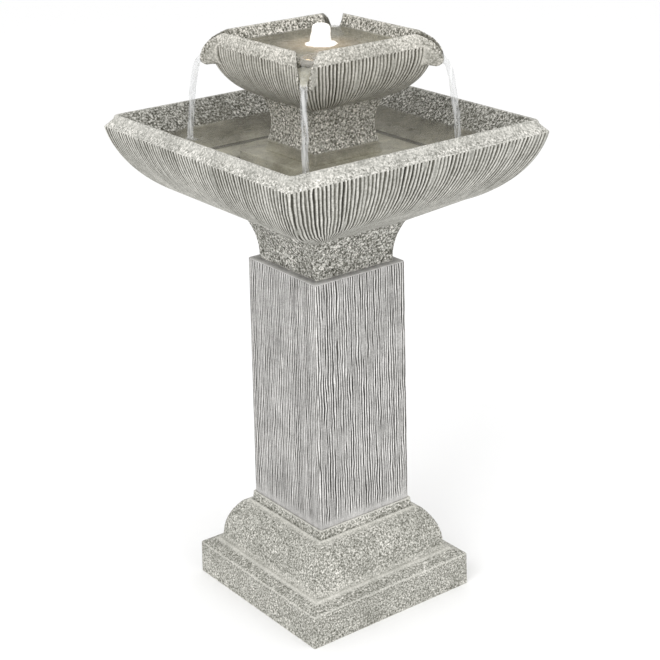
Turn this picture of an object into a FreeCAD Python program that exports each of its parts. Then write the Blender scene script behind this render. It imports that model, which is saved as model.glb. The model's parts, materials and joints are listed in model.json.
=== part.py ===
"""Two-tier square garden fountain on a pedestal, as separate castings with a submersible pump set.

Millimetres. +Z is up and the origin is the centre of the footprint, on the ground.
The castings' sides are parallel to X and Y. The plain sides face -X and -Y; the cable leaves at +Y.
"""

import FreeCAD, Part
import math
import os

import Sketcher
from FreeCAD import Placement, Rotation, Vector

doc = FreeCAD.newDocument("tiered_fountain")

# ---------------------------------------------------------------- driving sizes

SIZES = [
    # pedestal base
    ("plinth_side", 310, "side of the square plinth at the ground"),
    ("plinth_height", 54, "upright face of the plinth"),
    ("plinth_draft", 1, "how far each plinth face leans in"),
    ("weathering_run", 18, "sloping top of the plinth, across"),
    ("weathering_rise", 9, "sloping top of the plinth, up"),
    ("step_run", 7, "ridge between the slope and the skirt, across"),
    ("step_rise", 3, "ridge between the slope and the skirt, up"),
    ("skirt_height", 71, "curved skirt"),
    ("skirt_radius", 90, "radius of the skirt's curve"),
    ("collar_side", 183, "square collar round the foot of the column"),
    ("collar_height", 15, "collar's upright face"),
    ("collar_draft", 1, "how far each collar face leans in"),
    ("base_wall", 10, "wall of the hollow base"),
    ("ledge_thickness", 14, "ledge that carries the column"),
    ("ledge_width", 4, "how far the ledge reaches in past the column's wall"),
    ("column_seat_depth", 6, "how deep the column stands in the collar"),
    ("seat_clearance", 0.5, "gap round a casting that stands in another"),
    ("overrun", 5, "how far a cutting shape runs past the face that it opens"),
    # column
    ("column_foot_side", 174.4, "column's side at its foot"),
    ("column_head_side", 168.8, "column's side at its head"),
    ("column_height", 403, "column, foot to head"),
    ("column_wall", 8, "wall of the hollow column"),
    ("column_cap", 12, "closed head of the column"),
    ("column_edge_radius", 2.5, "softened corners of the column"),
    # lower bowl
    ("spigot_radius", 50, "round spigot under the bowl"),
    ("spigot_length", 10, "how far the spigot drops into the column"),
    ("service_bore_radius", 44, "round hollow up the middle of the lower bowl"),
    ("lower_neck_foot", 145, "side of the lower neck at its foot"),
    ("lower_neck_head", 172, "side of the lower neck at its head"),
    ("lower_neck_height", 63, "lower neck"),
    ("lower_neck_radius", 125, "radius of the neck's hollow curve"),
    ("belly_side", 300, "side where the underside turns up"),
    ("belly_rise", 35, "rise from the neck to that turn"),
    ("lower_side_radius", 142, "radius of the bowl's curved side"),
    ("lower_side_rise", 102, "rise of the curved side to the rim's edge"),
    ("lower_rim_side", 470, "widest side, at the rim's edge"),
    ("rim_band_run", 10, "sloping band on top of the rim, across"),
    ("rim_band_rise", 12, "sloping band on top of the rim, up"),
    ("rim_lip_run", 6, "lip inside the band, across"),
    ("rim_lip_rise", 8, "lip inside the band, up"),
    ("lower_wall_run", 56, "sloping inner wall of the basin, across"),
    ("lower_basin_depth", 66, "from the lip down to the basin's floor"),
    ("platform_side", 184, "raised square platform in the basin"),
    ("platform_rise", 15, "platform's height over the basin's floor"),
    ("platform_corner", 14, "radius of the platform's upright corners"),
    ("channel_width", 14, "shallow channel round the platform"),
    ("channel_depth", 4, "depth of that channel"),
    ("platform_slab", 14, "thickness left over the service bore"),
    ("bowl_wall", 8, "skin of the hollow lower bowl"),
    # upper bowl
    ("upper_neck_foot", 124, "side of the upper neck at its foot"),
    ("upper_neck_head", 128, "side of the upper neck at its head"),
    ("upper_neck_height", "=2 * shaft_height + riser_room", "upper neck, which holds the pump"),
    ("upper_neck_radius", 89, "radius of the neck's hollow curve"),
    ("upper_side_radius", 76, "radius of the bowl's curved side"),
    ("upper_side_rise", 74, "rise of the curved side to the rim band"),
    ("upper_rim_side", 232, "side of the bowl under its rim band"),
    ("upper_band_height", 21, "rim band"),
    ("upper_band_lean", 5, "how far the band leans in"),
    ("upper_crest_width", 6, "top of the rim"),
    ("upper_wall_run", 20, "sloping inner wall of the upper basin, across"),
    ("upper_basin_depth", 59, "from the crest down to the floor"),
    ("upper_floor", 13, "thickness of the floor over the pump chamber"),
    ("chamber_side", 92, "square pump chamber in the upper neck"),
    ("intake_width", 30, "water intake slots at the foot of the neck"),
    ("intake_height", 12, "height of the intake slots"),
    # spouts, measured outwards from the centre along a diagonal
    ("spout_reach", 177, "how far the spout's lip reaches"),
    ("spout_width", 20, "width of the spout's beak"),
    ("spout_channel_width", 11, "width of its water channel"),
    ("spout_channel_drop", 24, "channel's floor under the crest, and its bend"),
    ("spout_beak_drop", 41, "lip's edge under the crest"),
    ("spout_lip_thickness", 6, "thickness of the beak's lip"),
    ("spout_crest_reach", 152, "where the beak leaves the crest"),
    ("spout_root", 32, "how far the beak runs back into the bowl"),
    ("spout_channel_setback", 1, "channel's end behind the lip"),
    ("spout_beak_radius", 74, "radius of the beak's back"),
    ("notch_width", 30, "width of the notch at the crest"),
    # bubbler
    ("bulkhead_bore", 3.5, "water bore through the bulkhead fitting"),
    ("bulkhead_thread", 10, "radius of the bulkhead's thread"),
    ("thread_end", 3, "thread that shows under the nut"),
    ("thread_clearance", 0.2, "gap round a thread in a plain hole"),
    ("bulkhead_flange", 13, "radius of the bulkhead's flange"),
    ("flange_thickness", 4, "thickness of that flange"),
    ("gasket_thickness", 1.5, "rubber gasket under the flange"),
    ("nut_across_flats", 24, "locking nut"),
    ("nut_height", 9, "locking nut"),
    ("barb_radius", 5, "hose barbs at both ends of the riser"),
    ("bulkhead_tail", 18, "length of the barb under the thread"),
    ("nozzle_spigot_radius", 7, "spigot that carries the nozzle"),
    ("nozzle_spigot_length", 9.5, "length of that spigot"),
    ("nozzle_radius", 12, "bubbler nozzle, outside"),
    ("nozzle_tip_radius", 9, "nozzle at its tip"),
    ("nozzle_height", 25.5, "nozzle"),
    ("nozzle_bore", 4.5, "nozzle's outlet"),
    ("nozzle_collar_radius", 15, "collar that carries the light ring"),
    ("nozzle_collar_height", 3, "collar's thickness"),
    ("nozzle_collar_level", 2.5, "collar over the flange"),
    ("nozzle_shoulder", 1, "straight part of the nozzle over the light ring"),
    ("slip_clearance", 0.1, "gap of a part that slips over another"),
    # light ring
    ("ring_radius", 30, "light ring, outside"),
    ("ring_height", 11, "light ring"),
    ("ring_wall", 3, "walls of the light ring"),
    ("lens_thickness", 2.5, "ring-shaped lens"),
    ("lamp_count", 6, "lamps in the ring"),
    ("lamp_radius", 2.5, "each lamp"),
    ("lamp_height", 3, "each lamp"),
    ("lead_offset", 21, "lamps and lead from the centre"),
    ("lead_radius", 2, "lead of the light ring"),
    ("lead_hole_radius", 4.5, "hole in the bowl's floor for the lead's grommet"),
    ("lead_grommet_radius", 4.4, "lead's grommet, in that hole"),
    ("lead_grommet_flange", 6.3, "radius of that grommet's flanges"),
    ("lead_grommet_lip", 1.5, "thickness of those flanges"),
    ("lead_plug_radius", 4.5, "plug on the lead"),
    ("lead_plug_height", 12, "plug, and the socket that it meets"),
    ("plug_pin_radius", 0.8, "pins of that plug"),
    ("plug_pin_length", 7, "pins of that plug"),
    ("pin_root", 1, "pins' hold in the plug, and the room past their tips"),
    ("plug_pin_pitch", 3.6, "between the pins"),
    # riser
    ("riser_wall", 1.7, "wall of the flexible riser tube"),
    ("riser_grip", 10, "how far the riser covers a barb"),
    ("riser_room", 33, "height in the neck that the riser and the cups take over the pump's own"),
    ("riser_foot", 4, "riser's foot over the pump"),
    # pump
    ("pump_width", 44, "pump, across"),
    ("shaft_height", 24, "pump's shaft over its foot plate, and its top over the shaft"),
    ("cup_height", 7, "suction cups"),
    ("cup_radius", 6, "suction cups"),
    ("cup_stem_radius", 2, "suction cups' stems"),
    ("foot_plate", 2.5, "pump's foot plate"),
    ("motor_length", 29, "motor housing, along the shaft"),
    ("volute_length", 22, "volute cover, along the shaft"),
    ("motor_wall", 2.5, "walls of the motor housing"),
    ("motor_floor", 1, "floor of the motor's cavity over the foot plate"),
    ("well_radius", 8.8, "rotor well"),
    ("well_depth", 23.5, "rotor well"),
    ("well_gap", 1, "gap behind the magnet"),
    ("well_wall", 1.7, "wall of the rotor well"),
    ("shaft_radius", 1.5, "ceramic shaft"),
    ("shaft_clearance", 0.05, "gap round the shaft"),
    ("bush_radius", 4, "rubber bushes of the shaft"),
    ("bush_length", 3, "rubber bushes of the shaft"),
    ("bush_seat", 1, "front bush's hold in the cover"),
    ("hub_wall", 1.5, "wall round the front bush, and the impeller's hub"),
    ("magnet_radius", 7.8, "rotor magnet"),
    ("magnet_length", 21, "rotor magnet"),
    ("core_width", 34, "stator core, across its legs"),
    ("core_leg", 6, "width of the core's legs"),
    ("core_stack", 16, "thickness of the core's laminations"),
    ("core_rise", 18.5, "top of the core over the shaft"),
    ("core_drop", 8, "bottom of the core's legs under the shaft"),
    ("coil_width", 18, "coil, along the core's yoke"),
    ("coil_build", 2, "thickness of the winding"),
    ("winding_clearance", 0.3, "gap between the winding and the rotor well"),
    ("chamber_radius", 16, "impeller chamber"),
    ("chamber_depth", 17, "impeller chamber"),
    ("plate_gap", 0.3, "gap over the pump's foot plate"),
    ("nipple_radius", 5.4, "outlet nipple, in the cover"),
    ("nipple_depth", 6.5, "how far the nipple stands in the cover"),
    ("nipple_flange", 8, "radius of the outlet nipple's flange"),
    ("nipple_flange_thickness", 2.5, "that flange"),
    ("impeller_radius", 13.5, "impeller"),
    ("blade_count", 6, "impeller blades"),
    ("blade_depth", 9, "impeller blades, along the shaft"),
    ("blade_thickness", 1.5, "impeller blades and back disc"),
    ("blade_root", 3, "where the blades start, inside the hub"),
    ("blade_setback", 0.3, "blades' ends inside the disc's edge"),
    ("hub_setback", 2, "impeller's hub behind the tips of its blades"),
    ("impeller_gap", 0.5, "between the impeller's disc and the housing"),
    ("ring_seal_radius", 18.5, "O-ring between housing and cover"),
    ("ring_seal_section", 0.8, "radius of the O-ring's section"),
    ("inlet_count", 5, "round inlets in the volute cover"),
    ("inlet_radius", 2.4, "each inlet"),
    ("inlet_pitch_radius", 9, "circle of the inlets"),
    ("cap_overlap", 5, "how far the strainer slips over the volute"),
    ("strainer_length", 22, "strainer cover, along the shaft"),
    ("strainer_wall", 1.8, "strainer cover"),
    ("strainer_clearance", 0.2, "gap between strainer and volute"),
    ("slit_count", 7, "intake slits each side of the strainer"),
    ("slit_width", 2, "each slit"),
    ("slit_pitch", 4.5, "between the slits"),
    ("slit_setback", 1, "slits' end in front of the volute"),
    ("sponge_length", 10.5, "pre-filter sponge"),
    ("sponge_gap", 1, "sponge behind the strainer's front wall"),
    ("dial_radius", 14, "flow dial"),
    ("dial_thickness", 2.5, "flow dial"),
    ("dial_port_count", 4, "ports in the dial and behind it"),
    ("dial_port_radius", 3, "each port"),
    ("dial_port_circle", 9, "circle of the ports"),
    ("dial_pin_radius", 2, "dial's pivot pin"),
    ("pin_stand", 0.5, "pivot pin past the strainer's front wall"),
    ("tab_reach", 3, "dial's thumb tab past its edge"),
    ("gland_radius", 5, "pump's cable gland"),
    ("gland_length", 4.5, "pump's cable gland"),
    ("gland_offset", 12, "gland beside the shaft"),
    # cable way
    ("cable_bore", 3.5, "radius of every cable bore"),
    ("grommet_radius", 7, "grommets, in their holes"),
    ("grommet_flange", 8.5, "grommets' flanges"),
    ("grommet_flange_thickness", 2.5, "grommets' flanges"),
    ("grommet_gap", 9, "from the pump's side to the middle of the platform's grommet"),
    ("floor_grommet_offset", "=pump_width / 2 + grommet_gap", "grommet in the platform, from the centre"),
    ("rear_grommet_level", 22, "cable exit over the ground"),
    ("rear_grommet_setback", 0.6, "exit grommet behind the plinth's face"),
]

sheet = doc.addObject("Spreadsheet::Sheet", "sizes")
for row, (alias, _, meaning) in enumerate(SIZES, start=1):
    sheet.setAlias(f"A{row}", alias)
    sheet.set(f"B{row}", meaning)
for row, (_, size, _) in enumerate(SIZES, start=1):
    sheet.set(f"A{row}", str(size))
doc.recompute()

NODES = []


def cells(text):
    """The same formula with each size read from the sheet."""
    names = sorted((alias for alias, _, _ in SIZES), key=len, reverse=True)
    out, i = [], 0
    while i < len(text):
        found = next((n for n in names if text.startswith(n, i)), None)
        before = text[i - 1] if i else " "
        if found and not (before.isalnum() or before in "_."):
            out.append("sizes." + found)
            i += len(found)
        else:
            out.append(text[i])
            i += 1
    return "".join(out)


def value(text):
    return float(sheet.evalExpression(cells(text)))


def bind(thing, **formulas):
    for name, text in formulas.items():
        thing.setExpression(name.replace("__", "."), cells(text))
    return thing


def place(thing, x="0", y="0", up="0"):
    return bind(thing, Placement__Base__x=x, Placement__Base__y=y, Placement__Base__z=up)


def node(thing, label):
    thing.Label = label
    NODES.append(thing)
    return thing


# ---------------------------------------------------------------- levels of the stack

BASE_TOP = (
    "(plinth_height + weathering_rise + step_rise + skirt_height + collar_height)"
)
COLUMN_FOOT = f"({BASE_TOP} - column_seat_depth)"
BOWL_FOOT = f"({COLUMN_FOOT} + column_height)"
LOWER_EDGE = "(lower_neck_height + belly_rise + lower_side_rise)"
LOWER_CREST = f"({LOWER_EDGE} + rim_band_rise + rim_lip_rise)"
LOWER_FLOOR = f"({LOWER_CREST} - lower_basin_depth)"
PLATFORM = f"({LOWER_FLOOR} + platform_rise)"
UPPER_FOOT = f"({BOWL_FOOT} + {PLATFORM})"
UPPER_EDGE = "(upper_neck_height + upper_side_rise)"
UPPER_CREST = f"({UPPER_EDGE} + upper_band_height)"
UPPER_FLOOR = f"({UPPER_CREST} - upper_basin_depth)"
CHAMBER_TOP = f"({UPPER_FLOOR} - upper_floor)"
FLANGE_TOP = f"({UPPER_FLOOR} + gasket_thickness + flange_thickness)"
RING_FOOT = f"({FLANGE_TOP} + nozzle_collar_level + nozzle_collar_height)"
SHAFT_LEVEL = f"({UPPER_FOOT} + cup_height + shaft_height)"
PUMP_TOP = f"({SHAFT_LEVEL} + shaft_height)"


# ---------------------------------------------------------------- sketch helpers


def outline(sketch, corners, arcs=()):
    """A closed outline through corners, pairs of formulas, each held by its distances.

    arcs maps a side's number to its radius; a radius with a minus sign bends the side
    to the right of its direction of travel, and a plain one to the left.
    """
    arcs = dict(arcs)
    points = [Vector(value(x), value(y), 0) for x, y in corners]
    ends = []
    for i, start in enumerate(points):
        stop = points[(i + 1) % len(points)]
        if i in arcs:
            radius = abs(value(arcs[i]))
            bend = 1 if value(arcs[i]) > 0 else -1
            chord = stop - start
            rise = radius - math.sqrt(radius**2 - (chord.Length / 2) ** 2)
            left = Vector(-chord.y, chord.x, 0).normalize()
            middle = (start + stop) * 0.5 + left * bend * rise
            side = Part.Arc(start, middle, stop)
        else:
            side = Part.LineSegment(start, stop)
        geo = sketch.addGeometry(side, False)
        first = (
            1
            if (sketch.getPoint(geo, 1) - start).Length
            < (sketch.getPoint(geo, 2) - start).Length
            else 2
        )
        ends.append((geo, first, 3 - first))
    count = len(ends)
    for i in range(count):
        here, after = ends[i], ends[(i + 1) % count]
        sketch.addConstraint(
            Sketcher.Constraint("Coincident", here[0], here[2], after[0], after[1])
        )
    for i, (geo, first, _) in enumerate(ends):
        for way, text in zip(("DistanceX", "DistanceY"), corners[i]):
            axis = -2 if way == "DistanceX" else -1
            if text == "0":
                sketch.addConstraint(
                    Sketcher.Constraint("PointOnObject", geo, first, axis)
                )
                continue
            at = sketch.addConstraint(
                Sketcher.Constraint(way, -1, 1, geo, first, value(text))
            )
            sketch.setExpression(f"Constraints[{at}]", cells(text))
        if i in arcs:
            size = abs(value(arcs[i]))
            at = sketch.addConstraint(Sketcher.Constraint("Radius", geo, size))
            sketch.setExpression(
                f"Constraints[{at}]", cells(arcs[i].removeprefix("-"))
            )


def circle(sketch, radius, x="0", y="0"):
    """A circle of that radius with its centre at x, y, all formulas."""
    geo = sketch.addGeometry(
        Part.Circle(Vector(value(x), value(y), 0), Vector(0, 0, 1), value(radius))
    )
    at = sketch.addConstraint(Sketcher.Constraint("Radius", geo, value(radius)))
    sketch.setExpression(f"Constraints[{at}]", cells(radius))
    if x == "0" and y == "0":
        sketch.addConstraint(Sketcher.Constraint("Coincident", geo, 3, -1, 1))
        return
    for way, text, axis in (("DistanceX", x, -2), ("DistanceY", y, -1)):
        if text == "0":
            sketch.addConstraint(Sketcher.Constraint("PointOnObject", geo, 3, axis))
            continue
        at = sketch.addConstraint(Sketcher.Constraint(way, -1, 1, geo, 3, value(text)))
        sketch.setExpression(f"Constraints[{at}]", cells(text))


def rectangle(sketch, wide, low, high):
    """A rectangle centred across the sketch's upright axis."""
    half = f"({wide}) / 2"
    outline(
        sketch, [(half, low), (half, high), (f"-({half})", high), (f"-({half})", low)]
    )


# ---------------------------------------------------------------- square castings
# A square casting with mitred corners is what two copies of one profile, run through it
# along X and along Y, have in common.

UPRIGHT = Rotation(Vector(1, 0, 0), 90)


def both_sides(right):
    """The right half of a profile, bottom to top, with its mirror image."""
    return right + [(f"-({x})", y) for x, y in reversed(right)]


def squared(name, right, widest, arcs=()):
    """A square solid whose upright profile is right; arcs are as in outline."""
    count = 2 * len(right)
    mirrored = {count - 2 - i: radius for i, radius in dict(arcs).items()}
    section = doc.addObject("Sketcher::SketchObject", name + "_section")
    section.Placement = Placement(Vector(), UPRIGHT)
    outline(section, both_sides(right), {**dict(arcs), **mirrored})
    runs = []
    for way, turn in (("along_y", 0), ("along_x", 90)):
        run = doc.addObject("Part::Extrusion", f"{name}_{way}")
        run.Base = section
        run.DirMode = "Normal"
        run.Solid = True
        run.Symmetric = True
        bind(run, LengthFwd=f"{widest} + 2 * overrun")
        run.Placement = Placement(Vector(), Rotation(Vector(0, 0, 1), turn))
        runs.append(run)
    both = doc.addObject("Part::MultiCommon", name)
    both.Shapes = runs
    both.Refine = True
    return both


def block(name, wide, deep, low, high, x="0", y="0"):
    """A box centred on x, y between two levels."""
    box = doc.addObject("Part::Box", name)
    bind(box, Length=wide, Width=deep, Height=f"{high} - ({low})")
    return place(box, f"{x} - ({wide}) / 2", f"{y} - ({deep}) / 2", low)


def rod(name, radius, low, high, x="0", y="0"):
    """An upright cylinder between two levels."""
    cylinder = doc.addObject("Part::Cylinder", name)
    bind(cylinder, Radius=radius, Height=f"{high} - ({low})")
    return place(cylinder, x, y, low)


def fuse(name, *parts):
    whole = doc.addObject("Part::MultiFuse", name)
    whole.Shapes = list(parts)
    whole.Refine = True
    return whole


def cut(name, base, *tools):
    tool = tools[0] if len(tools) == 1 else fuse(name + "_tools", *tools)
    left = doc.addObject("Part::Cut", name)
    left.Base = base
    left.Tool = tool
    left.Refine = True
    return left


def pedestal_base():
    plinth = "plinth_side / 2"
    slope = f"({plinth} - plinth_draft - weathering_run)"
    skirt = f"({slope} - step_run)"
    collar = "collar_side / 2"
    skirt_foot = "(plinth_height + weathering_rise + step_rise)"
    skirt_top = f"({skirt_foot} + skirt_height)"
    outer = squared(
        "base_outside",
        [
            (plinth, "0"),
            (f"{plinth} - plinth_draft", "plinth_height"),
            (slope, "plinth_height + weathering_rise"),
            (skirt, skirt_foot),
            (collar, skirt_top),
            (f"{collar} - collar_draft", BASE_TOP),
        ],
        "plinth_side",
        {3: "-skirt_radius"},
    )
    ledge_bottom = f"({COLUMN_FOOT} - ledge_thickness)"
    opening = "(column_foot_side / 2 - column_wall - ledge_width)"
    inner = squared(
        "base_inside",
        [
            (f"{plinth} - base_wall", "-overrun"),
            (f"{plinth} - base_wall - plinth_draft", "plinth_height - base_wall"),
            (f"{skirt} - base_wall", f"{skirt_foot} - base_wall / 2"),
            (opening, ledge_bottom),
        ],
        "plinth_side",
        {2: "-skirt_radius"},
    )
    seat_side = "column_foot_side + 2 * seat_clearance"
    seat = block("column_seat", seat_side, seat_side, COLUMN_FOOT, f"{BASE_TOP} + overrun")
    well = block(
        "ledge_opening",
        f"2 * {opening}",
        f"2 * {opening}",
        f"{ledge_bottom} - overrun",
        f"{BASE_TOP} + overrun",
    )
    way_out = doc.addObject("Part::Cylinder", "cable_exit_hole")
    bind(way_out, Radius="grommet_radius", Height="2 * base_wall")
    way_out.Placement.Rotation = Rotation(Vector(1, 0, 0), -90)
    place(way_out, "0", f"{plinth} - 1.5 * base_wall", "rear_grommet_level")
    node(cut("base_shape", outer, inner, seat, well, way_out), "base_casting")


def sketch_on(body, name, plane="XZ_Plane", offset=None):
    """A sketch on one of the body's own origin planes."""
    sketch = body.newObject("Sketcher::SketchObject", name)
    features = body.Origin.OriginFeatures
    sketch.AttachmentSupport = [(next(f for f in features if f.Role == plane), "")]
    sketch.MapMode = "FlatFace"
    if offset:
        sketch.setExpression("AttachmentOffset.Base.z", cells(offset))
    return sketch


def new_body(name):
    return doc.addObject("PartDesign::Body", name)


def pad(body, sketch, length, symmetric=False, reversed_way=False):
    feature = body.newObject("PartDesign::Pad", sketch.Name + "_pad")
    feature.Profile = sketch
    bind(feature, Length=length)
    feature.Midplane = symmetric
    feature.Reversed = reversed_way
    return feature


def pocket(body, sketch, length, symmetric=False, reversed_way=False):
    """Cuts a pocket, and stops the build if it took nothing away."""
    doc.recompute()
    before = body.Shape.Volume
    feature = body.newObject("PartDesign::Pocket", sketch.Name + "_pocket")
    feature.Profile = sketch
    bind(feature, Length=length)
    feature.Midplane = symmetric
    feature.Reversed = reversed_way
    doc.recompute()
    if not body.Shape.Volume < before - 1e-6:
        raise RuntimeError(f"{feature.Name} cut nothing")
    return feature


def around(body, feature, count, sketch, axis="N_Axis"):
    """Repeats a feature round its sketch's normal."""
    pattern = body.newObject("PartDesign::PolarPattern", feature.Name + "_ring")
    pattern.Originals = [feature]
    pattern.Axis = (sketch, [axis])
    pattern.Angle = 360
    bind(pattern, Occurrences=count)
    body.Tip = pattern
    return pattern


def turned(label, corners, arcs=(), x="0", y="0", up="0"):
    """A turned part: its half section, spun round the upright axis."""
    body = new_body(label + "_body")
    section = sketch_on(body, label + "_section")
    outline(section, corners, arcs)
    spin = body.newObject("PartDesign::Revolution", label + "_spin")
    spin.Profile = section
    spin.ReferenceAxis = (section, ["V_Axis"])
    spin.Angle = 360
    place(body, x, y, up)
    return body


def tapered(name, foot_side, head_side, low, high):
    """An upright square block that narrows from foot to head."""
    wedge = doc.addObject("Part::Wedge", name)
    bind(
        wedge,
        Xmin=f"-({foot_side}) / 2",
        Xmax=f"({foot_side}) / 2",
        Zmin=f"-({foot_side}) / 2",
        Zmax=f"({foot_side}) / 2",
        X2min=f"-({head_side}) / 2",
        X2max=f"({head_side}) / 2",
        Z2min=f"-({head_side}) / 2",
        Z2max=f"({head_side}) / 2",
        Ymin=low,
        Ymax=high,
    )
    wedge.Placement = Placement(Vector(), UPRIGHT)
    return wedge


def column():
    shaft = tapered(
        "column_shaft", "column_foot_side", "column_head_side", "0", "column_height"
    )
    doc.recompute()
    soft = doc.addObject("Part::Fillet", "column_soft")
    soft.Base = shaft
    corner = value("column_edge_radius")
    soft.Edges = [
        (i, corner, corner)
        for i, edge in enumerate(shaft.Shape.Edges, start=1)
        if edge.BoundBox.ZLength > value("column_height") / 2
    ]
    hollow = tapered(
        "column_hollow",
        "(column_foot_side - 2 * column_wall)",
        "(column_head_side - 2 * column_wall)",
        "0",
        "column_height - column_cap",
    )
    socket = rod(
        "column_socket",
        "spigot_radius + seat_clearance",
        "column_height - column_cap - overrun",
        "column_height + overrun",
    )
    shape = cut("column_shape", soft, hollow, socket)
    place(shape, up=COLUMN_FOOT)
    node(shape, "column")


def lower_bowl():
    foot, head = "lower_neck_foot / 2", "lower_neck_head / 2"
    rim = "lower_rim_side / 2"
    turn = "(lower_neck_height + belly_rise)"
    lip = f"({rim} - rim_band_run - rim_lip_run)"
    outer = squared(
        "lower_outside",
        [
            (foot, "0"),
            (head, "lower_neck_height"),
            ("belly_side / 2", turn),
            (rim, LOWER_EDGE),
            (f"{rim} - rim_band_run", f"{LOWER_EDGE} + rim_band_rise"),
            (lip, LOWER_CREST),
        ],
        "lower_rim_side",
        {0: "lower_neck_radius", 2: "-lower_side_radius"},
    )
    dish = squared(
        "lower_dish",
        [
            (f"{lip} - lower_wall_run", LOWER_FLOOR),
            (lip, LOWER_CREST),
            (lip, f"{LOWER_CREST} + overrun"),
        ],
        "lower_rim_side",
    )
    ring = "(platform_side + 2 * channel_width)"
    channel = block(
        "channel", ring, ring, f"{LOWER_FLOOR} - channel_depth", f"{LOWER_FLOOR} + overrun"
    )
    basin = cut("basin", outer, dish, channel)
    platform = block(
        "platform_block",
        "platform_side",
        "platform_side",
        f"{LOWER_FLOOR} - channel_depth",
        PLATFORM,
    )
    doc.recompute()
    soft = doc.addObject("Part::Fillet", "platform")
    soft.Base = platform
    corner = value("platform_corner")
    soft.Edges = [
        (i, corner, corner)
        for i, edge in enumerate(platform.Shape.Edges, start=1)
        if edge.BoundBox.XLength < 1e-6 and edge.BoundBox.YLength < 1e-6
    ]
    spigot = rod("spigot", "spigot_radius", "-spigot_length", "overrun")
    whole = fuse("lower_solid", basin, soft, spigot)
    bore = rod(
        "service_bore",
        "service_bore_radius",
        "-spigot_length - overrun",
        f"{PLATFORM} - platform_slab",
    )
    cable = rod(
        "floor_cable_hole",
        "grommet_radius",
        f"{PLATFORM} - platform_slab - overrun",
        f"{PLATFORM} + overrun",
        "floor_grommet_offset",
    )
    hollow = squared(
        "lower_hollow",
        [
            (f"{head} - 2 * bowl_wall", "lower_neck_height + bowl_wall / 2"),
            ("belly_side / 2 - bowl_wall / 2", f"{turn} + bowl_wall"),
            (f"{rim} - 2 * bowl_wall", f"{LOWER_EDGE} - 2 * bowl_wall"),
        ],
        "lower_rim_side",
        {1: "-(lower_side_radius - bowl_wall)"},
    )
    under_dish = squared(
        "under_dish",
        [
            (
                f"{lip} - lower_wall_run - bowl_wall / 2",
                f"{LOWER_FLOOR} - channel_depth - bowl_wall",
            ),
            (
                f"{lip} + bowl_wall",
                f"{LOWER_CREST} - channel_depth - bowl_wall",
            ),
        ],
        "lower_rim_side",
    )
    cavity = cut("lower_cavity", hollow, under_dish)
    shape = cut("lower_bowl_shape", whole, bore, cable, cavity)
    place(shape, up=BOWL_FOOT)
    node(shape, "lower_bowl")


DIAGONALS = (45, 135, 225, 315)


def along_diagonals(name, corners, width, arcs=()):
    """Four copies of a flat shape, stood up along the diagonals; corners are reach and level."""
    section = doc.addObject("Sketcher::SketchObject", name + "_section")
    section.Placement = Placement(Vector(), UPRIGHT)
    outline(section, corners, arcs)
    copies = []
    for angle in DIAGONALS:
        run = doc.addObject("Part::Extrusion", f"{name}_{angle}")
        run.Base = section
        run.DirMode = "Normal"
        run.Solid = True
        run.Symmetric = True
        bind(run, LengthFwd=width)
        run.Placement = Placement(Vector(), Rotation(Vector(0, 0, 1), angle))
        copies.append(run)
    return copies


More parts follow.
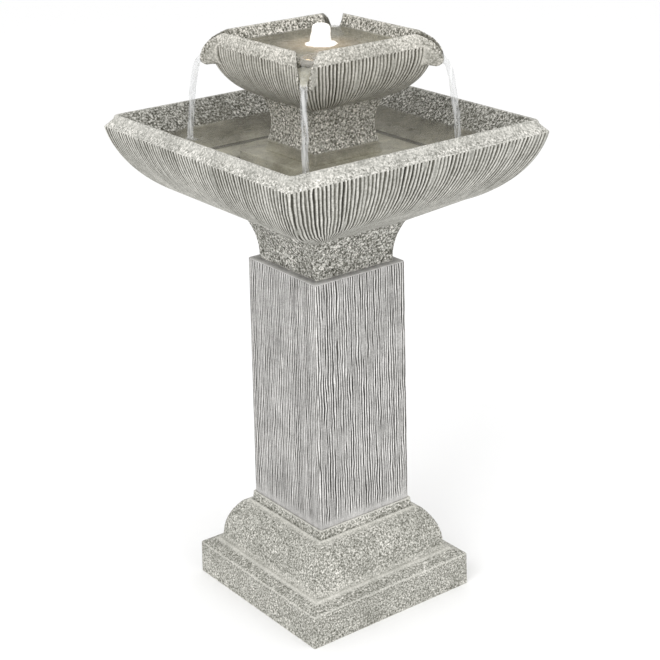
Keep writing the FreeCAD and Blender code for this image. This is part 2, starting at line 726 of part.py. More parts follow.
def upper_bowl():
    foot, head = "upper_neck_foot / 2", "upper_neck_head / 2"
    rim = "upper_rim_side / 2"
    crest = f"({rim} - upper_band_lean)"
    inner = f"({crest} - upper_crest_width)"
    outer = squared(
        "upper_outside",
        [
            (foot, "0"),
            (head, "upper_neck_height"),
            (rim, UPPER_EDGE),
            (crest, UPPER_CREST),
        ],
        "upper_rim_side",
        {0: "upper_neck_radius", 1: "-upper_side_radius"},
    )
    dish = squared(
        "upper_dish",
        [
            (f"{inner} - upper_wall_run", UPPER_FLOOR),
            (inner, UPPER_CREST),
            (inner, f"{UPPER_CREST} + overrun"),
        ],
        "upper_rim_side",
    )
    lip = f"({UPPER_CREST} - spout_beak_drop)"
    root = "(spout_crest_reach - spout_root)"
    beaks = along_diagonals(
        "beak",
        [
            (root, f"{lip} - spout_lip_thickness"),
            ("spout_reach - spout_lip_thickness", f"{lip} - spout_lip_thickness"),
            ("spout_reach", lip),
            ("spout_crest_reach", UPPER_CREST),
            (root, UPPER_CREST),
        ],
        "spout_width",
        {2: "-spout_beak_radius"},
    )
    bed = f"({UPPER_CREST} - spout_channel_drop)"
    end = "(spout_reach - spout_channel_setback)"
    outside = "(spout_reach + overrun)"
    channels = along_diagonals(
        "spout_channel",
        [
            ("upper_rim_side / 4", bed),
            (f"{end} - spout_channel_drop", bed),
            (end, f"{bed} - spout_channel_drop"),
            (outside, f"{bed} - spout_channel_drop"),
            (outside, f"{UPPER_CREST} + overrun"),
            ("upper_rim_side / 4", f"{UPPER_CREST} + overrun"),
        ],
        "spout_channel_width",
        {1: "-spout_channel_drop"},
    )
    half_bed, half_notch = "spout_channel_width / 2", "notch_width / 2"
    notches = []
    for angle in DIAGONALS:
        notch = doc.addObject("Sketcher::SketchObject", f"notch_section_{angle}")
        notch.Placement = Placement(
            Vector(), Rotation(Vector(0, 0, 1), angle + 90) * UPRIGHT
        )
        outline(
            notch,
            [
                (half_bed, bed),
                (half_notch, UPPER_CREST),
                (half_notch, f"{UPPER_CREST} + overrun"),
                (f"-({half_notch})", f"{UPPER_CREST} + overrun"),
                (f"-({half_notch})", UPPER_CREST),
                (f"-({half_bed})", bed),
            ],
        )
        run = doc.addObject("Part::Extrusion", f"notch_{angle}")
        run.Base = notch
        run.DirMode = "Normal"
        run.Solid = True
        bind(run, LengthFwd=outside)
        notches.append(run)
    solid = fuse("upper_solid", outer, *beaks)
    chamber = block("chamber", "chamber_side", "chamber_side", "-overrun", CHAMBER_TOP)
    middle = "upper_neck_foot / 4"
    through = "(upper_neck_foot / 2 + overrun)"
    levels = ("-overrun", "intake_height")
    intakes = [
        block("intake_y", "intake_width", through, *levels, y=middle),
        block("intake_x", through, "intake_width", *levels, x=middle),
    ]
    thread = rod(
        "bulkhead_hole",
        "bulkhead_thread + thread_clearance",
        f"{CHAMBER_TOP} - overrun",
        f"{UPPER_FLOOR} + overrun",
    )
    lead = rod(
        "lead_hole",
        "lead_hole_radius",
        f"{CHAMBER_TOP} - overrun",
        f"{UPPER_FLOOR} + overrun",
        "0",
        "lead_offset",
    )
    hollows = [dish, *channels, *notches, chamber, *intakes, thread, lead]
    shape = cut("upper_bowl_shape", solid, *hollows)
    place(shape, up=UPPER_FOOT)
    node(shape, "upper_bowl")


# ---------------------------------------------------------------- bubbler and light ring


def bubbler():
    floor = f"({UPPER_FOOT} + {UPPER_FLOOR})"
    tail = "-(upper_floor + nut_height + thread_end + bulkhead_tail)"
    thread_foot = "-(upper_floor + nut_height + thread_end)"
    flange = "(gasket_thickness + flange_thickness)"
    node(
        turned(
            "bulkhead_fitting",
            [
                ("bulkhead_bore", tail),
                ("barb_radius", tail),
                ("barb_radius", thread_foot),
                ("bulkhead_thread", thread_foot),
                ("bulkhead_thread", "gasket_thickness"),
                ("bulkhead_flange", "gasket_thickness"),
                ("bulkhead_flange", flange),
                ("nozzle_spigot_radius", flange),
                ("nozzle_spigot_radius", f"{flange} + nozzle_spigot_length"),
                ("bulkhead_bore", f"{flange} + nozzle_spigot_length"),
            ],
            up=floor,
        ),
        "bulkhead_fitting",
    )
    hole = "(bulkhead_thread + thread_clearance)"
    node(
        turned(
            "bulkhead_gasket",
            [
                (hole, "0"),
                ("bulkhead_flange", "0"),
                ("bulkhead_flange", "gasket_thickness"),
                (hole, "gasket_thickness"),
            ],
            up=floor,
        ),
        "bulkhead_gasket",
    )
    nut = new_body("bulkhead_nut_body")
    hexagon = sketch_on(nut, "nut_hexagon", "XY_Plane")
    across = "nut_across_flats / 2"
    point = f"({across}) / cos(30)"
    outline(
        hexagon,
        [
            (point, "0"),
            (f"{point} / 2", across),
            (f"-({point}) / 2", across),
            (f"-({point})", "0"),
            (f"-({point}) / 2", f"-({across})"),
            (f"{point} / 2", f"-({across})"),
        ],
    )
    pad(nut, hexagon, "nut_height")
    bore = sketch_on(nut, "nut_bore", "XY_Plane")
    circle(bore, "bulkhead_thread + shaft_clearance")
    pocket(nut, bore, "2 * (nut_height + overrun)", symmetric=True)
    place(nut, up=f"{UPPER_FOOT} + {CHAMBER_TOP} - nut_height")
    node(nut, "bulkhead_nut")
    socket = "(nozzle_spigot_radius + shaft_clearance)"
    collar_foot = "nozzle_collar_level"
    collar_top = "(nozzle_collar_level + nozzle_collar_height)"
    node(
        turned(
            "bubbler_nozzle",
            [
                (socket, "0"),
                ("nozzle_radius", "0"),
                ("nozzle_radius", collar_foot),
                ("nozzle_collar_radius", collar_foot),
                ("nozzle_collar_radius", collar_top),
                ("nozzle_radius", collar_top),
                ("nozzle_radius", f"{collar_top} + ring_height + nozzle_shoulder"),
                ("nozzle_tip_radius", "nozzle_height"),
                ("nozzle_bore", "nozzle_height"),
                ("nozzle_bore", "nozzle_spigot_length"),
                (socket, "nozzle_spigot_length"),
            ],
            up=f"{UPPER_FOOT} + {FLANGE_TOP}",
        ),
        "bubbler_nozzle",
    )


def light_ring():
    foot = f"{UPPER_FOOT} + {RING_FOOT}"
    hole = "(nozzle_radius + slip_clearance)"
    groove_in, groove_out = f"({hole} + ring_wall)", "(ring_radius - ring_wall)"
    node(
        turned(
            "light_ring_housing",
            [
                (hole, "0"),
                ("ring_radius", "0"),
                ("ring_radius", "ring_height"),
                (groove_out, "ring_height"),
                (groove_out, "ring_wall"),
                (groove_in, "ring_wall"),
                (groove_in, "ring_height"),
                (hole, "ring_height"),
            ],
            up=foot,
        ),
        "light_ring_housing",
    )
    node(
        turned(
            "light_ring_lens",
            [
                (f"{groove_in} + slip_clearance", "ring_height - lens_thickness"),
                (f"{groove_out} - slip_clearance", "ring_height - lens_thickness"),
                (f"{groove_out} - slip_clearance", "ring_height"),
                (f"{groove_in} + slip_clearance", "ring_height"),
            ],
            up=foot,
        ),
        "light_ring_lens",
    )
    count = int(value("lamp_count"))
    lamps = []
    for i in range(count):
        turn = Rotation(Vector(0, 0, 1), 360 * i / count)
        centre = turn.multVec(Vector(value("lead_offset"), 0, 0))
        lamps.append(Part.makeCylinder(value("lamp_radius"), value("lamp_height"), centre))
    group = doc.addObject("Part::Feature", "light_lamps_group")
    group.Shape = Part.makeCompound(lamps)
    place(group, up=f"{foot} + ring_wall")
    node(group, "light_lamps")
    plug_foot = f"({PUMP_TOP} + lead_plug_height)"
    plug_top = f"({plug_foot} + lead_plug_height)"
    lead = rod("light_lead_tube", "lead_radius", plug_top, foot, y="lead_offset")
    node(lead, "light_lead")
    grommet_bore = "lead_radius + shaft_clearance"
    node(
        turned(
            "lead_grommet",
            [
                (grommet_bore, "-lead_grommet_lip"),
                ("lead_grommet_flange", "-lead_grommet_lip"),
                ("lead_grommet_flange", "0"),
                ("lead_grommet_radius", "0"),
                ("lead_grommet_radius", "upper_floor"),
                ("lead_grommet_flange", "upper_floor"),
                ("lead_grommet_flange", "upper_floor + lead_grommet_lip"),
                (grommet_bore, "upper_floor + lead_grommet_lip"),
            ],
            y="lead_offset",
            up=f"{UPPER_FOOT} + {CHAMBER_TOP}",
        ),
        "lead_grommet",
    )
    pins = {}
    for kind, radius, low in (
        ("pin", "plug_pin_radius", "-plug_pin_length"),
        ("hole", "plug_pin_radius + slip_clearance", "-plug_pin_length - pin_root"),
    ):
        pins[kind] = [
            rod(
                f"{kind}_{side}",
                radius,
                f"{plug_foot} + {low}",
                f"{plug_foot} + pin_root",
                f"{sign} * plug_pin_pitch / 2",
                "lead_offset",
            )
            for side, sign in (("left", -1), ("right", 1))
        ]
    plug = rod("plug_barrel", "lead_plug_radius", plug_foot, plug_top, y="lead_offset")
    node(fuse("light_plug_shape", plug, *pins["pin"]), "light_plug")
    socket = rod("socket_barrel", "lead_plug_radius", PUMP_TOP, plug_foot, y="lead_offset")
    node(cut("light_socket_shape", socket, *pins["hole"]), "light_socket")


def riser():
    low = f"({PUMP_TOP} + riser_foot)"
    tail = "(nut_height + thread_end + bulkhead_tail)"
    high = f"({UPPER_FOOT} + {CHAMBER_TOP} - {tail} + riser_grip)"
    bore = "(barb_radius + slip_clearance)"
    node(
        turned(
            "riser_tube",
            [
                (bore, "0"),
                (f"{bore} + riser_wall", "0"),
                (f"{bore} + riser_wall", f"{high} - {low}"),
                (bore, f"{high} - {low}"),
            ],
            up=low,
        ),
        "riser_tube",
    )


# ---------------------------------------------------------------- pump
# Each pump part is drawn round the shaft: its own X is across, Z is up and Y runs back
# along the shaft from the middle of the volute.

FACE = "(volute_length / 2)"
FOOT = "(-shaft_height)"


def pump_body(name):
    body = new_body(name + "_body")
    place(body, up=SHAFT_LEVEL)
    return body


def across_shaft(body, name, back):
    """A sketch square to the shaft, back behind the volute's middle."""
    return sketch_on(body, name, "XZ_Plane", f"-({back})")


def disc(body, name, radius, front, length, cutting=False):
    """A round boss or bore on the shaft from front backwards."""
    sketch = across_shaft(body, name, front)
    circle(sketch, radius)
    if cutting:
        return pocket(body, sketch, length, reversed_way=False)
    return pad(body, sketch, length, reversed_way=True)


def pump_housing():
    body = pump_body("pump_housing")
    shell = across_shaft(body, "housing_section", FACE)
    rectangle(shell, "pump_width", FOOT, "shaft_height")
    pad(body, shell, "motor_length", reversed_way=True)
    plate = across_shaft(body, "foot_plate_section", f"-{FACE}")
    rectangle(plate, "pump_width", FOOT, f"{FOOT} + foot_plate")
    pad(body, plate, "volute_length", reversed_way=True)
    cavity = across_shaft(body, "cavity_section", f"{FACE} + motor_wall")
    rectangle(
        cavity,
        "pump_width - 2 * motor_wall",
        f"{FOOT} + foot_plate + motor_floor",
        "shaft_height - motor_wall",
    )
    pocket(body, cavity, "motor_length")
    well_back = "(well_depth + bush_length + well_wall)"
    disc(body, "well_outside", "well_radius + well_wall", FACE, well_back)
    disc(body, "well_bore", "well_radius", FACE, "well_depth", cutting=True)
    disc(body, "bush_socket", "bush_radius", FACE, "well_depth + bush_length", cutting=True)
    groove = across_shaft(body, "seal_groove", FACE)
    circle(groove, "ring_seal_radius + ring_seal_section + slip_clearance")
    circle(groove, "ring_seal_radius - ring_seal_section - slip_clearance")
    pocket(body, groove, "2 * ring_seal_section")
    stems = sketch_on(body, "cup_holes", "XY_Plane", FOOT)
    for x, y in CUPS:
        circle(stems, "cup_stem_radius", x, y)
    pocket(body, stems, "foot_plate", reversed_way=True)
    node(body, "pump_housing")


CUPS = [
    (f"{side}(pump_width / 2 - cup_radius)", y)
    for side in ("", "-")
    for y in ("0", f"({FACE} + motor_length - cup_radius)")
]


def suction_cups():
    body_shapes = []
    for x, y in CUPS:
        cup = Part.makeCone(
            value("cup_radius"),
            value("cup_stem_radius"),
            value("cup_height"),
            Vector(value(x), value(y), 0),
        )
        stem = Part.makeCylinder(
            value("cup_stem_radius"),
            value("foot_plate"),
            Vector(value(x), value(y), value("cup_height")),
        )
        body_shapes.append(cup.fuse(stem).removeSplitter())
    group = doc.addObject("Part::Feature", "suction_cups_group")
    group.Shape = Part.makeCompound(body_shapes)
    place(group, up=UPPER_FOOT)
    node(group, "suction_cups")


def motor_parts():
    top = "core_rise"
    under = "(core_rise - core_leg + winding_clearance)"
    legs = "(core_width - 2 * core_leg)"
    start = f"({FACE} + motor_wall + coil_build)"
    core_low = f"{SHAFT_LEVEL} - core_drop"
    core_cut = {}
    for name in ("core", "potting"):
        core = doc.addObject("Part::Box", f"{name}_block")
        bind(core, Length="core_width", Width="core_stack", Height=f"{top} + core_drop")
        place(core, "-core_width / 2", start, core_low)
        gap = doc.addObject("Part::Box", f"{name}_gap")
        bind(gap, Length=legs)
        bind(gap, Width="core_stack + 2 * overrun")
        bind(gap, Height=f"{under} + core_drop + overrun")
        place(gap, f"-{legs} / 2", f"{start} - overrun", f"{core_low} - overrun")
        core_cut[name] = cut(f"{name}_laminations", core, gap)
    node(core_cut["core"], "stator_core")
    coil_low = f"({under} - coil_build)"
    coil_high = f"({top} + coil_build)"
    coils = {}
    for name in ("coil", "potting_coil"):
        winding = doc.addObject("Part::Box", f"{name}_block")
        bind(
            winding,
            Length="coil_width",
            Width="core_stack + 2 * (coil_build - winding_clearance)",
            Height=f"{coil_high} - {coil_low}",
        )
        front = f"{start} - coil_build + winding_clearance"
        place(winding, "-coil_width / 2", front, f"{SHAFT_LEVEL} + {coil_low}")
        coils[name] = winding
    yoke = doc.addObject("Part::Box", "coil_window")
    bind(yoke, Length="coil_width + 2 * overrun", Width="core_stack", Height=f"{top} - {under}")
    place(yoke, "-coil_width / 2 - overrun", start, f"{SHAFT_LEVEL} + {under}")
    node(cut("stator_coil_shape", coils["coil"], yoke), "stator_coil")
    fill = doc.addObject("Part::Box", "potting_fill")
    bind(
        fill,
        Length="pump_width - 2 * motor_wall",
        Width="motor_length - motor_wall",
        Height="2 * shaft_height - foot_plate - motor_floor - motor_wall",
    )
    place(
        fill,
        "-(pump_width / 2 - motor_wall)",
        f"{FACE} + motor_wall",
        f"{SHAFT_LEVEL} - shaft_height + foot_plate + motor_floor",
    )
    well = doc.addObject("Part::Cylinder", "potting_well")
    well_back = "(well_depth + bush_length + well_wall)"
    bind(well, Radius="well_radius + well_wall", Height=f"{well_back} + overrun")
    well.Placement.Rotation = Rotation(Vector(1, 0, 0), -90)
    place(well, "0", f"{FACE} - overrun", SHAFT_LEVEL)
    node(
        cut("potting_shape", fill, well, core_cut["potting"], coils["potting_coil"]),
        "motor_potting",
    )


def volute_cover():
    body = pump_body("volute_cover")
    main = across_shaft(body, "volute_section", f"-{FACE} + cap_overlap")
    rectangle(main, "pump_width", f"{FOOT} + foot_plate + plate_gap", "shaft_height")
    pad(body, main, "volute_length - cap_overlap", reversed_way=True)
    step = "(strainer_wall + strainer_clearance)"
    nose = across_shaft(body, "nose_section", f"-{FACE}")
    rectangle(
        nose,
        f"pump_width - 2 * {step}",
        f"{FOOT} + foot_plate + plate_gap + {step}",
        f"shaft_height - {step}",
    )
    pad(body, nose, "cap_overlap", reversed_way=True)
    hub = "bush_radius + hub_wall"
    disc(body, "hub_outside", hub, f"-{FACE} - bush_length", "bush_length + bush_seat")
    depth = "chamber_depth + overrun"
    front = f"{FACE} - chamber_depth"
    disc(body, "impeller_chamber", "chamber_radius", front, depth, cutting=True)
    bush = across_shaft(body, "front_bush_hole", f"-{FACE} - bush_length")
    circle(bush, "bush_radius")
    pocket(body, bush, "volute_length")
    inlet = across_shaft(body, "inlet_hole", f"-{FACE} - overrun")
    circle(inlet, "inlet_radius", "0", "inlet_pitch_radius")
    ports = pocket(body, inlet, "volute_length")
    around(body, ports, "inlet_count", inlet)
    doc.recompute()
    outlet = sketch_on(body, "outlet_hole", "XY_Plane", "shaft_height")
    circle(outlet, "nipple_radius + slip_clearance")
    pocket(body, outlet, "shaft_height")
    node(body, "volute_cover")


def along_shaft(label, section, front, length):
    """A plain round part on the shaft: section is its outer and inner radius."""
    body = pump_body(label)
    sketch = across_shaft(body, label + "_section", front)
    circle(sketch, section[0])
    if section[1]:
        circle(sketch, section[1])
    pad(body, sketch, length, reversed_way=True)
    node(body, label)


def rotor():
    bore = "shaft_radius + shaft_clearance"
    rear = f"({FACE} + well_depth)"
    front = f"(-{FACE} - bush_length)"
    along_shaft("rear_bush", ("bush_radius", "shaft_radius"), rear, "bush_length")
    along_shaft("front_bush", ("bush_radius", "shaft_radius"), front, "bush_length + bush_seat")
    whole = f"{rear} + bush_length - {front}"
    along_shaft("pump_shaft", ("shaft_radius", None), front, whole)
    magnet_back = f"({rear} - well_gap)"
    magnet_front = f"({magnet_back} - magnet_length)"
    along_shaft("rotor_magnet", ("magnet_radius", bore), magnet_front, "magnet_length")
    body = pump_body("impeller")
    disc_front = f"({FACE} - impeller_gap - blade_thickness)"
    disc(body, "impeller_disc", "impeller_radius", disc_front, "blade_thickness")
    hub_front = f"({disc_front} - blade_depth + hub_setback)"
    hub_length = f"{magnet_front} - {hub_front}"
    disc(body, "impeller_hub", "bush_radius + hub_wall", hub_front, hub_length)
    blade = across_shaft(body, "blade_section", f"{disc_front} - blade_depth")
    half = "blade_thickness / 2"
    rectangle(blade, f"2 * {half}", "blade_root", "impeller_radius - blade_setback")
    one = pad(body, blade, f"blade_depth + {half}", reversed_way=True)
    around(body, one, "blade_count", blade)
    doc.recompute()
    hole = across_shaft(body, "impeller_bore", f"{disc_front} - blade_depth - overrun")
    circle(hole, bore)
    pocket(body, hole, "volute_length + 2 * overrun")
    node(body, "impeller")
    seal = doc.addObject("Part::Torus", "seal_ring_torus")
    bind(seal, Radius1="ring_seal_radius", Radius2="ring_seal_section")
    seal.Placement.Rotation = Rotation(Vector(1, 0, 0), 90)
    place(seal, "0", f"{FACE} + ring_seal_section", SHAFT_LEVEL)
    node(seal, "seal_ring")


STRAINER_FRONT = f"(-{FACE} + cap_overlap - strainer_length)"


def strainer():
    body = pump_body("strainer_cover")
    outside = across_shaft(body, "strainer_section", STRAINER_FRONT)
    low = f"{FOOT} + foot_plate + plate_gap"
    rectangle(outside, "pump_width", low, "shaft_height")
    pad(body, outside, "strainer_length", reversed_way=True)
    inside = across_shaft(body, "strainer_hollow", f"{STRAINER_FRONT} + strainer_wall")
    rectangle(
        inside,
        "pump_width - 2 * strainer_wall",
        f"{low} + strainer_wall",
        "shaft_height - strainer_wall",
    )
    pocket(body, inside, "strainer_length")
    port = across_shaft(body, "strainer_port", f"{STRAINER_FRONT} + 2 * strainer_wall")
    circle(port, "dial_port_radius", "0", "dial_port_circle")
    first = pocket(body, port, "4 * strainer_wall", symmetric=True)
    around(body, first, "dial_port_count", port)
    doc.recompute()
    pin = across_shaft(body, "dial_pin_hole", f"{STRAINER_FRONT} + 2 * strainer_wall")
    circle(pin, "dial_pin_radius + shaft_clearance")
    pocket(body, pin, "4 * strainer_wall", symmetric=True)
    slit = sketch_on(body, "side_slit", "YZ_Plane")
    slit_front = f"({STRAINER_FRONT} + 2 * strainer_wall)"
    slit_back = f"(-{FACE} - slit_setback)"
    low_slit = "(-slit_pitch * (slit_count - 1) / 2 - slit_width / 2)"
    outline(
        slit,
        [
            (slit_front, low_slit),
            (slit_back, low_slit),
            (slit_back, f"{low_slit} + slit_width"),
            (slit_front, f"{low_slit} + slit_width"),
        ],
    )
    cut_slit = pocket(body, slit, "pump_width + 2 * overrun", symmetric=True)
    rows = body.newObject("PartDesign::LinearPattern", "side_slits")
    rows.Originals = [cut_slit]
    rows.Direction = (slit, ["V_Axis"])
    bind(rows, Length="slit_pitch * (slit_count - 1)", Occurrences="slit_count")
    body.Tip = rows
    doc.recompute()
    node(body, "strainer_cover")
    sponge = doc.addObject("Part::Box", "sponge_block")
    gap = "(strainer_wall + strainer_clearance)"
    bind(
        sponge,
        Length=f"pump_width - 2 * {gap}",
        Width="sponge_length",
        Height=f"2 * shaft_height - foot_plate - plate_gap - 2 * {gap}",
    )
    place(
        sponge,
        f"-(pump_width / 2 - {gap})",
        f"{STRAINER_FRONT} + strainer_wall + sponge_gap",
        f"{SHAFT_LEVEL} + {low} + {gap}",
    )
    node(sponge, "filter_sponge")


def flow_dial():
    body = pump_body("flow_dial")
    front = f"({STRAINER_FRONT} - dial_thickness)"
    disc(body, "dial_disc", "dial_radius", front, "dial_thickness")
    pin_length = "dial_thickness + strainer_wall + pin_stand"
    disc(body, "dial_pin", "dial_pin_radius", front, pin_length)
    tab = across_shaft(body, "dial_tab", front)
    rectangle(tab, "dial_port_radius", "dial_radius - tab_reach", "dial_radius + tab_reach")
    pad(body, tab, "dial_thickness", reversed_way=True)
    doc.recompute()
    port = across_shaft(body, "dial_port", STRAINER_FRONT)
    circle(port, "dial_port_radius", "0", "dial_port_circle")
    first = pocket(body, port, "4 * dial_thickness", symmetric=True)
    around(body, first, "dial_port_count", port)
    node(body, "flow_dial")


def outlet_nipple():
    top = "shaft_height"
    node(
        turned(
            "outlet_nipple",
            [
                ("bulkhead_bore", f"{top} - nipple_depth"),
                ("nipple_radius", f"{top} - nipple_depth"),
                ("nipple_radius", top),
                ("nipple_flange", top),
                ("nipple_flange", f"{top} + nipple_flange_thickness"),
                ("barb_radius", f"{top} + nipple_flange_thickness"),
                ("barb_radius", f"{top} + riser_foot + riser_grip"),
                ("bulkhead_bore", f"{top} + riser_foot + riser_grip"),
            ],
            up=SHAFT_LEVEL,
        ),
        "outlet_nipple",
    )


def cable_ways():
    gland = doc.addObject("Part::Cylinder", "gland_barrel")
    bind(gland, Radius="gland_radius", Height="gland_length")
    hole = doc.addObject("Part::Cylinder", "gland_hole")
    bind(hole, Radius="cable_bore", Height="gland_length + 2 * overrun")
    back = f"({FACE} + motor_length)"
    for thing, setback in ((gland, "0"), (hole, "overrun")):
        thing.Placement.Rotation = Rotation(Vector(1, 0, 0), -90)
        place(thing, "gland_offset", f"{back} - {setback}", f"{SHAFT_LEVEL} - gland_offset")
    node(cut("gland_shape", gland, hole), "pump_cable_gland")
    node(
        turned(
            "floor_grommet",
            [
                ("cable_bore", "-platform_slab - grommet_flange_thickness"),
                ("grommet_flange", "-platform_slab - grommet_flange_thickness"),
                ("grommet_flange", "-platform_slab"),
                ("grommet_radius", "-platform_slab"),
                ("grommet_radius", "0"),
                ("grommet_flange", "0"),
                ("grommet_flange", "grommet_flange_thickness"),
                ("cable_bore", "grommet_flange_thickness"),
            ],
            x="floor_grommet_offset",
            up=UPPER_FOOT,
        ),
        "floor_grommet",
    )
    rear = new_body("rear_grommet_body")
    section = sketch_on(rear, "rear_grommet_section", "XY_Plane")
    inner_face = "(plinth_side / 2 - base_wall - plinth_draft)"
    outer_face = "(plinth_side / 2 - plinth_draft - rear_grommet_setback)"
    outline(
        section,
        [
            ("cable_bore", f"{inner_face} - grommet_flange_thickness"),
            ("grommet_flange", f"{inner_face} - grommet_flange_thickness"),
            ("grommet_flange", inner_face),
            ("grommet_radius", inner_face),
            ("grommet_radius", outer_face),
            ("cable_bore", outer_face),
        ],
    )
    spin = rear.newObject("PartDesign::Revolution", "rear_grommet_spin")
    spin.Profile = section
    spin.ReferenceAxis = (section, ["V_Axis"])
    spin.Angle = 360
    place(rear, up="rear_grommet_level")
    node(rear, "rear_grommet")


for build in (
    pedestal_base,
    column,
    lower_bowl,
    upper_bowl,
    bubbler,
    light_ring,
    riser,
    pump_housing,
    suction_cups,
    motor_parts,
    volute_cover,
    rotor,
    strainer,
    flow_dial,
    outlet_nipple,
    cable_ways,
):
    build()
doc.recompute()

# ---------------------------------------------------------------- checks, then the files

failed = [o.Label for o in doc.Objects if {"Invalid", "Error"} & set(o.State)]
if failed:
    raise RuntimeError(f"these objects failed: {failed}")
for part in NODES:
    shape = part.Shape
    if shape.isNull() or not shape.isValid() or not shape.Solids:
        raise RuntimeError(f"{part.Label} has no valid solid")

os.makedirs("parts", exist_ok=True)
for part in NODES:
    part.Shape.exportStep(f"parts/{part.Label}.step")
    size = part.Shape.BoundBox
    print(
        f"{part.Label}: {len(part.Shape.Solids)} solid, {part.Shape.Volume / 1000:.1f} cm3,"
        f" z {size.ZMin:.1f} to {size.ZMax:.1f}"
    )
print(f"{len(NODES)} nodes")
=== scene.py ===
# %% [markdown]
# # A two-tier garden fountain in cast stone
#
# The real object is four hollow castings that stack: a square base, a grooved column, a wide
# ribbed basin and a smaller bowl with a spout at each corner. A pump in the upper bowl's neck
# feeds a lit bubbler. The castings' plain shapes come from a packed engineering model, the frame.
# Here each one is cast again with its grooves, grain and edges, and the water is added; the edges are partly
# rubbed pale and partly given a painted highlight.

# %% Load the frame
import json
import math

import bpy
import numpy as np
from mathutils import Euler, Matrix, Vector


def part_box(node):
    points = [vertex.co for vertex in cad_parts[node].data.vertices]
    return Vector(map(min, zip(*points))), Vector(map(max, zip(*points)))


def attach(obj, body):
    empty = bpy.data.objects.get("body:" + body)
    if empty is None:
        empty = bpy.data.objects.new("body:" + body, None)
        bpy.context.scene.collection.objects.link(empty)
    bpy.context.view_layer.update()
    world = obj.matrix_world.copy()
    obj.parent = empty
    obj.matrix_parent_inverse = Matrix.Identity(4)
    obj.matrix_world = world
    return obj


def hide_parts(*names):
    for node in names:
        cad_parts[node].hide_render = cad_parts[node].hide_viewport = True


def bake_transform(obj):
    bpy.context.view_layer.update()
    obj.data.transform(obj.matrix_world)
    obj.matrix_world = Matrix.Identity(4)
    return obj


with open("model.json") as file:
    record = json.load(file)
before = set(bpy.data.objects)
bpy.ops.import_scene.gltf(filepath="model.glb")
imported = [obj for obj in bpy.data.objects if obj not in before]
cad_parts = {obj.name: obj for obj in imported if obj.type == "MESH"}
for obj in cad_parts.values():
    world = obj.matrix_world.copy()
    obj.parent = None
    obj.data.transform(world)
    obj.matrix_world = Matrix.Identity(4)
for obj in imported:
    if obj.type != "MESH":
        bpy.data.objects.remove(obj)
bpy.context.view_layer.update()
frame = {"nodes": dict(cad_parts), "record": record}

# %% [markdown]
# ## Sizes
# Lengths in this lesson are millimetres until a mesh is made. Levels and half widths are read
# from the frame's boxes, so the new castings stand exactly where the plain ones do.

# %% Levels and half widths
MM = 0.001


def foot_of(node):
    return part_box(node)[0].z / MM


def head_of(node):
    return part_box(node)[1].z / MM


def half_of(node):
    low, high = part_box(node)
    return (high.x - low.x) / 2 / MM


PLINTH = half_of("base_casting")
COLLAR_TOP = head_of("base_casting")
COLUMN_FOOT, COLUMN_HEAD = foot_of("column"), head_of("column")
COLUMN_HALF = half_of("column")
RIM_HALF, RIM_TOP = half_of("lower_bowl"), head_of("lower_bowl")
PLATFORM_TOP, CREST = foot_of("upper_bowl"), head_of("upper_bowl")
LOWER_WATER = RIM_TOP - 35
UPPER_WATER = CREST - 18
print("water stands at", round(LOWER_WATER), "and", round(UPPER_WATER), "mm over the ground")

# %% [markdown]
# ## Expressions that build node trees
# A node tree is easier to read as arithmetic. `Wire` wraps one socket: an operator on it adds a
# Math node, and `node` adds any other kind of node, with its settings first and its sockets after.

# %% The wire
class Wire:
    """A socket of a node tree that can stand in a Python expression."""

    def __init__(self, tree, socket=None):
        self.tree, self.socket = tree, socket

    def node(self, kind, settings=None, inputs=None, out=0):
        made = self.tree.nodes.new(kind)
        for name, setting in (settings or {}).items():
            if name == "stops":
                while len(made.color_ramp.elements) < len(setting):
                    made.color_ramp.elements.new(1.0)
                for element, (place, colour) in zip(made.color_ramp.elements, setting):
                    element.position, element.color = place, (*colour, 1)
            else:
                setattr(made, name, setting)
        for name, value in (inputs or {}).items():
            if isinstance(value, Wire):
                self.tree.links.new(value.socket, made.inputs[name])
            else:
                made.inputs[name].default_value = value
        return Wire(self.tree, made.outputs[out])

    def maths(self, operation, *values, clamp=False):
        settings = {"operation": operation, "use_clamp": clamp}
        return self.node("ShaderNodeMath", settings, dict(enumerate(values)))

    def __add__(self, value):
        return self.maths("ADD", self, value)

    def __sub__(self, value):
        return self.maths("SUBTRACT", self, value)

    def __rsub__(self, value):
        return self.maths("SUBTRACT", value, self)

    def __mul__(self, value):
        return self.maths("MULTIPLY", self, value)

    __radd__, __rmul__ = __add__, __mul__

    def step(self, low, high):
        """0 below low, 1 above high and a smooth rise between them; low may be the larger."""
        settings = {"interpolation_type": "SMOOTHSTEP"}
        return self.node("ShaderNodeMapRange", settings, {0: self, 1: low, 2: high, 3: 0.0, 4: 1.0})

    def bounded(self):
        return self.maths("ADD", self, 0.0, clamp=True)

    def noise(self, place, scale, detail=2.0, roughness=0.5):
        sizes = {"Vector": place, "Scale": scale, "Detail": detail, "Roughness": roughness}
        return self.node("ShaderNodeTexNoise", {"noise_dimensions": "3D"}, sizes)

    def vector(self, x, y, z):
        return self.node("ShaderNodeCombineXYZ", {}, {0: x, 1: y, 2: z})

    def blend(self, first, second):
        """first where this is 0 and second where it is 1, for colours."""
        settings = {"data_type": "RGBA"}
        return self.node("ShaderNodeMix", settings, {0: self, 6: first, 7: second}, out=2)


# %% [markdown]
# ## Square castings
# A square basin is one outline walked round a square: up its outside, over the rim and back down
# its inside. A spin gives round things only, and a bevelled box can't follow a moulding. So a small
# helper walks the outline and lays a rounded square at every step. Where a wall is plain, it lays
# fewer points, and a row of wider cells joins the two.

# %% Walking an outline
SOFT_EDGE = 1.6


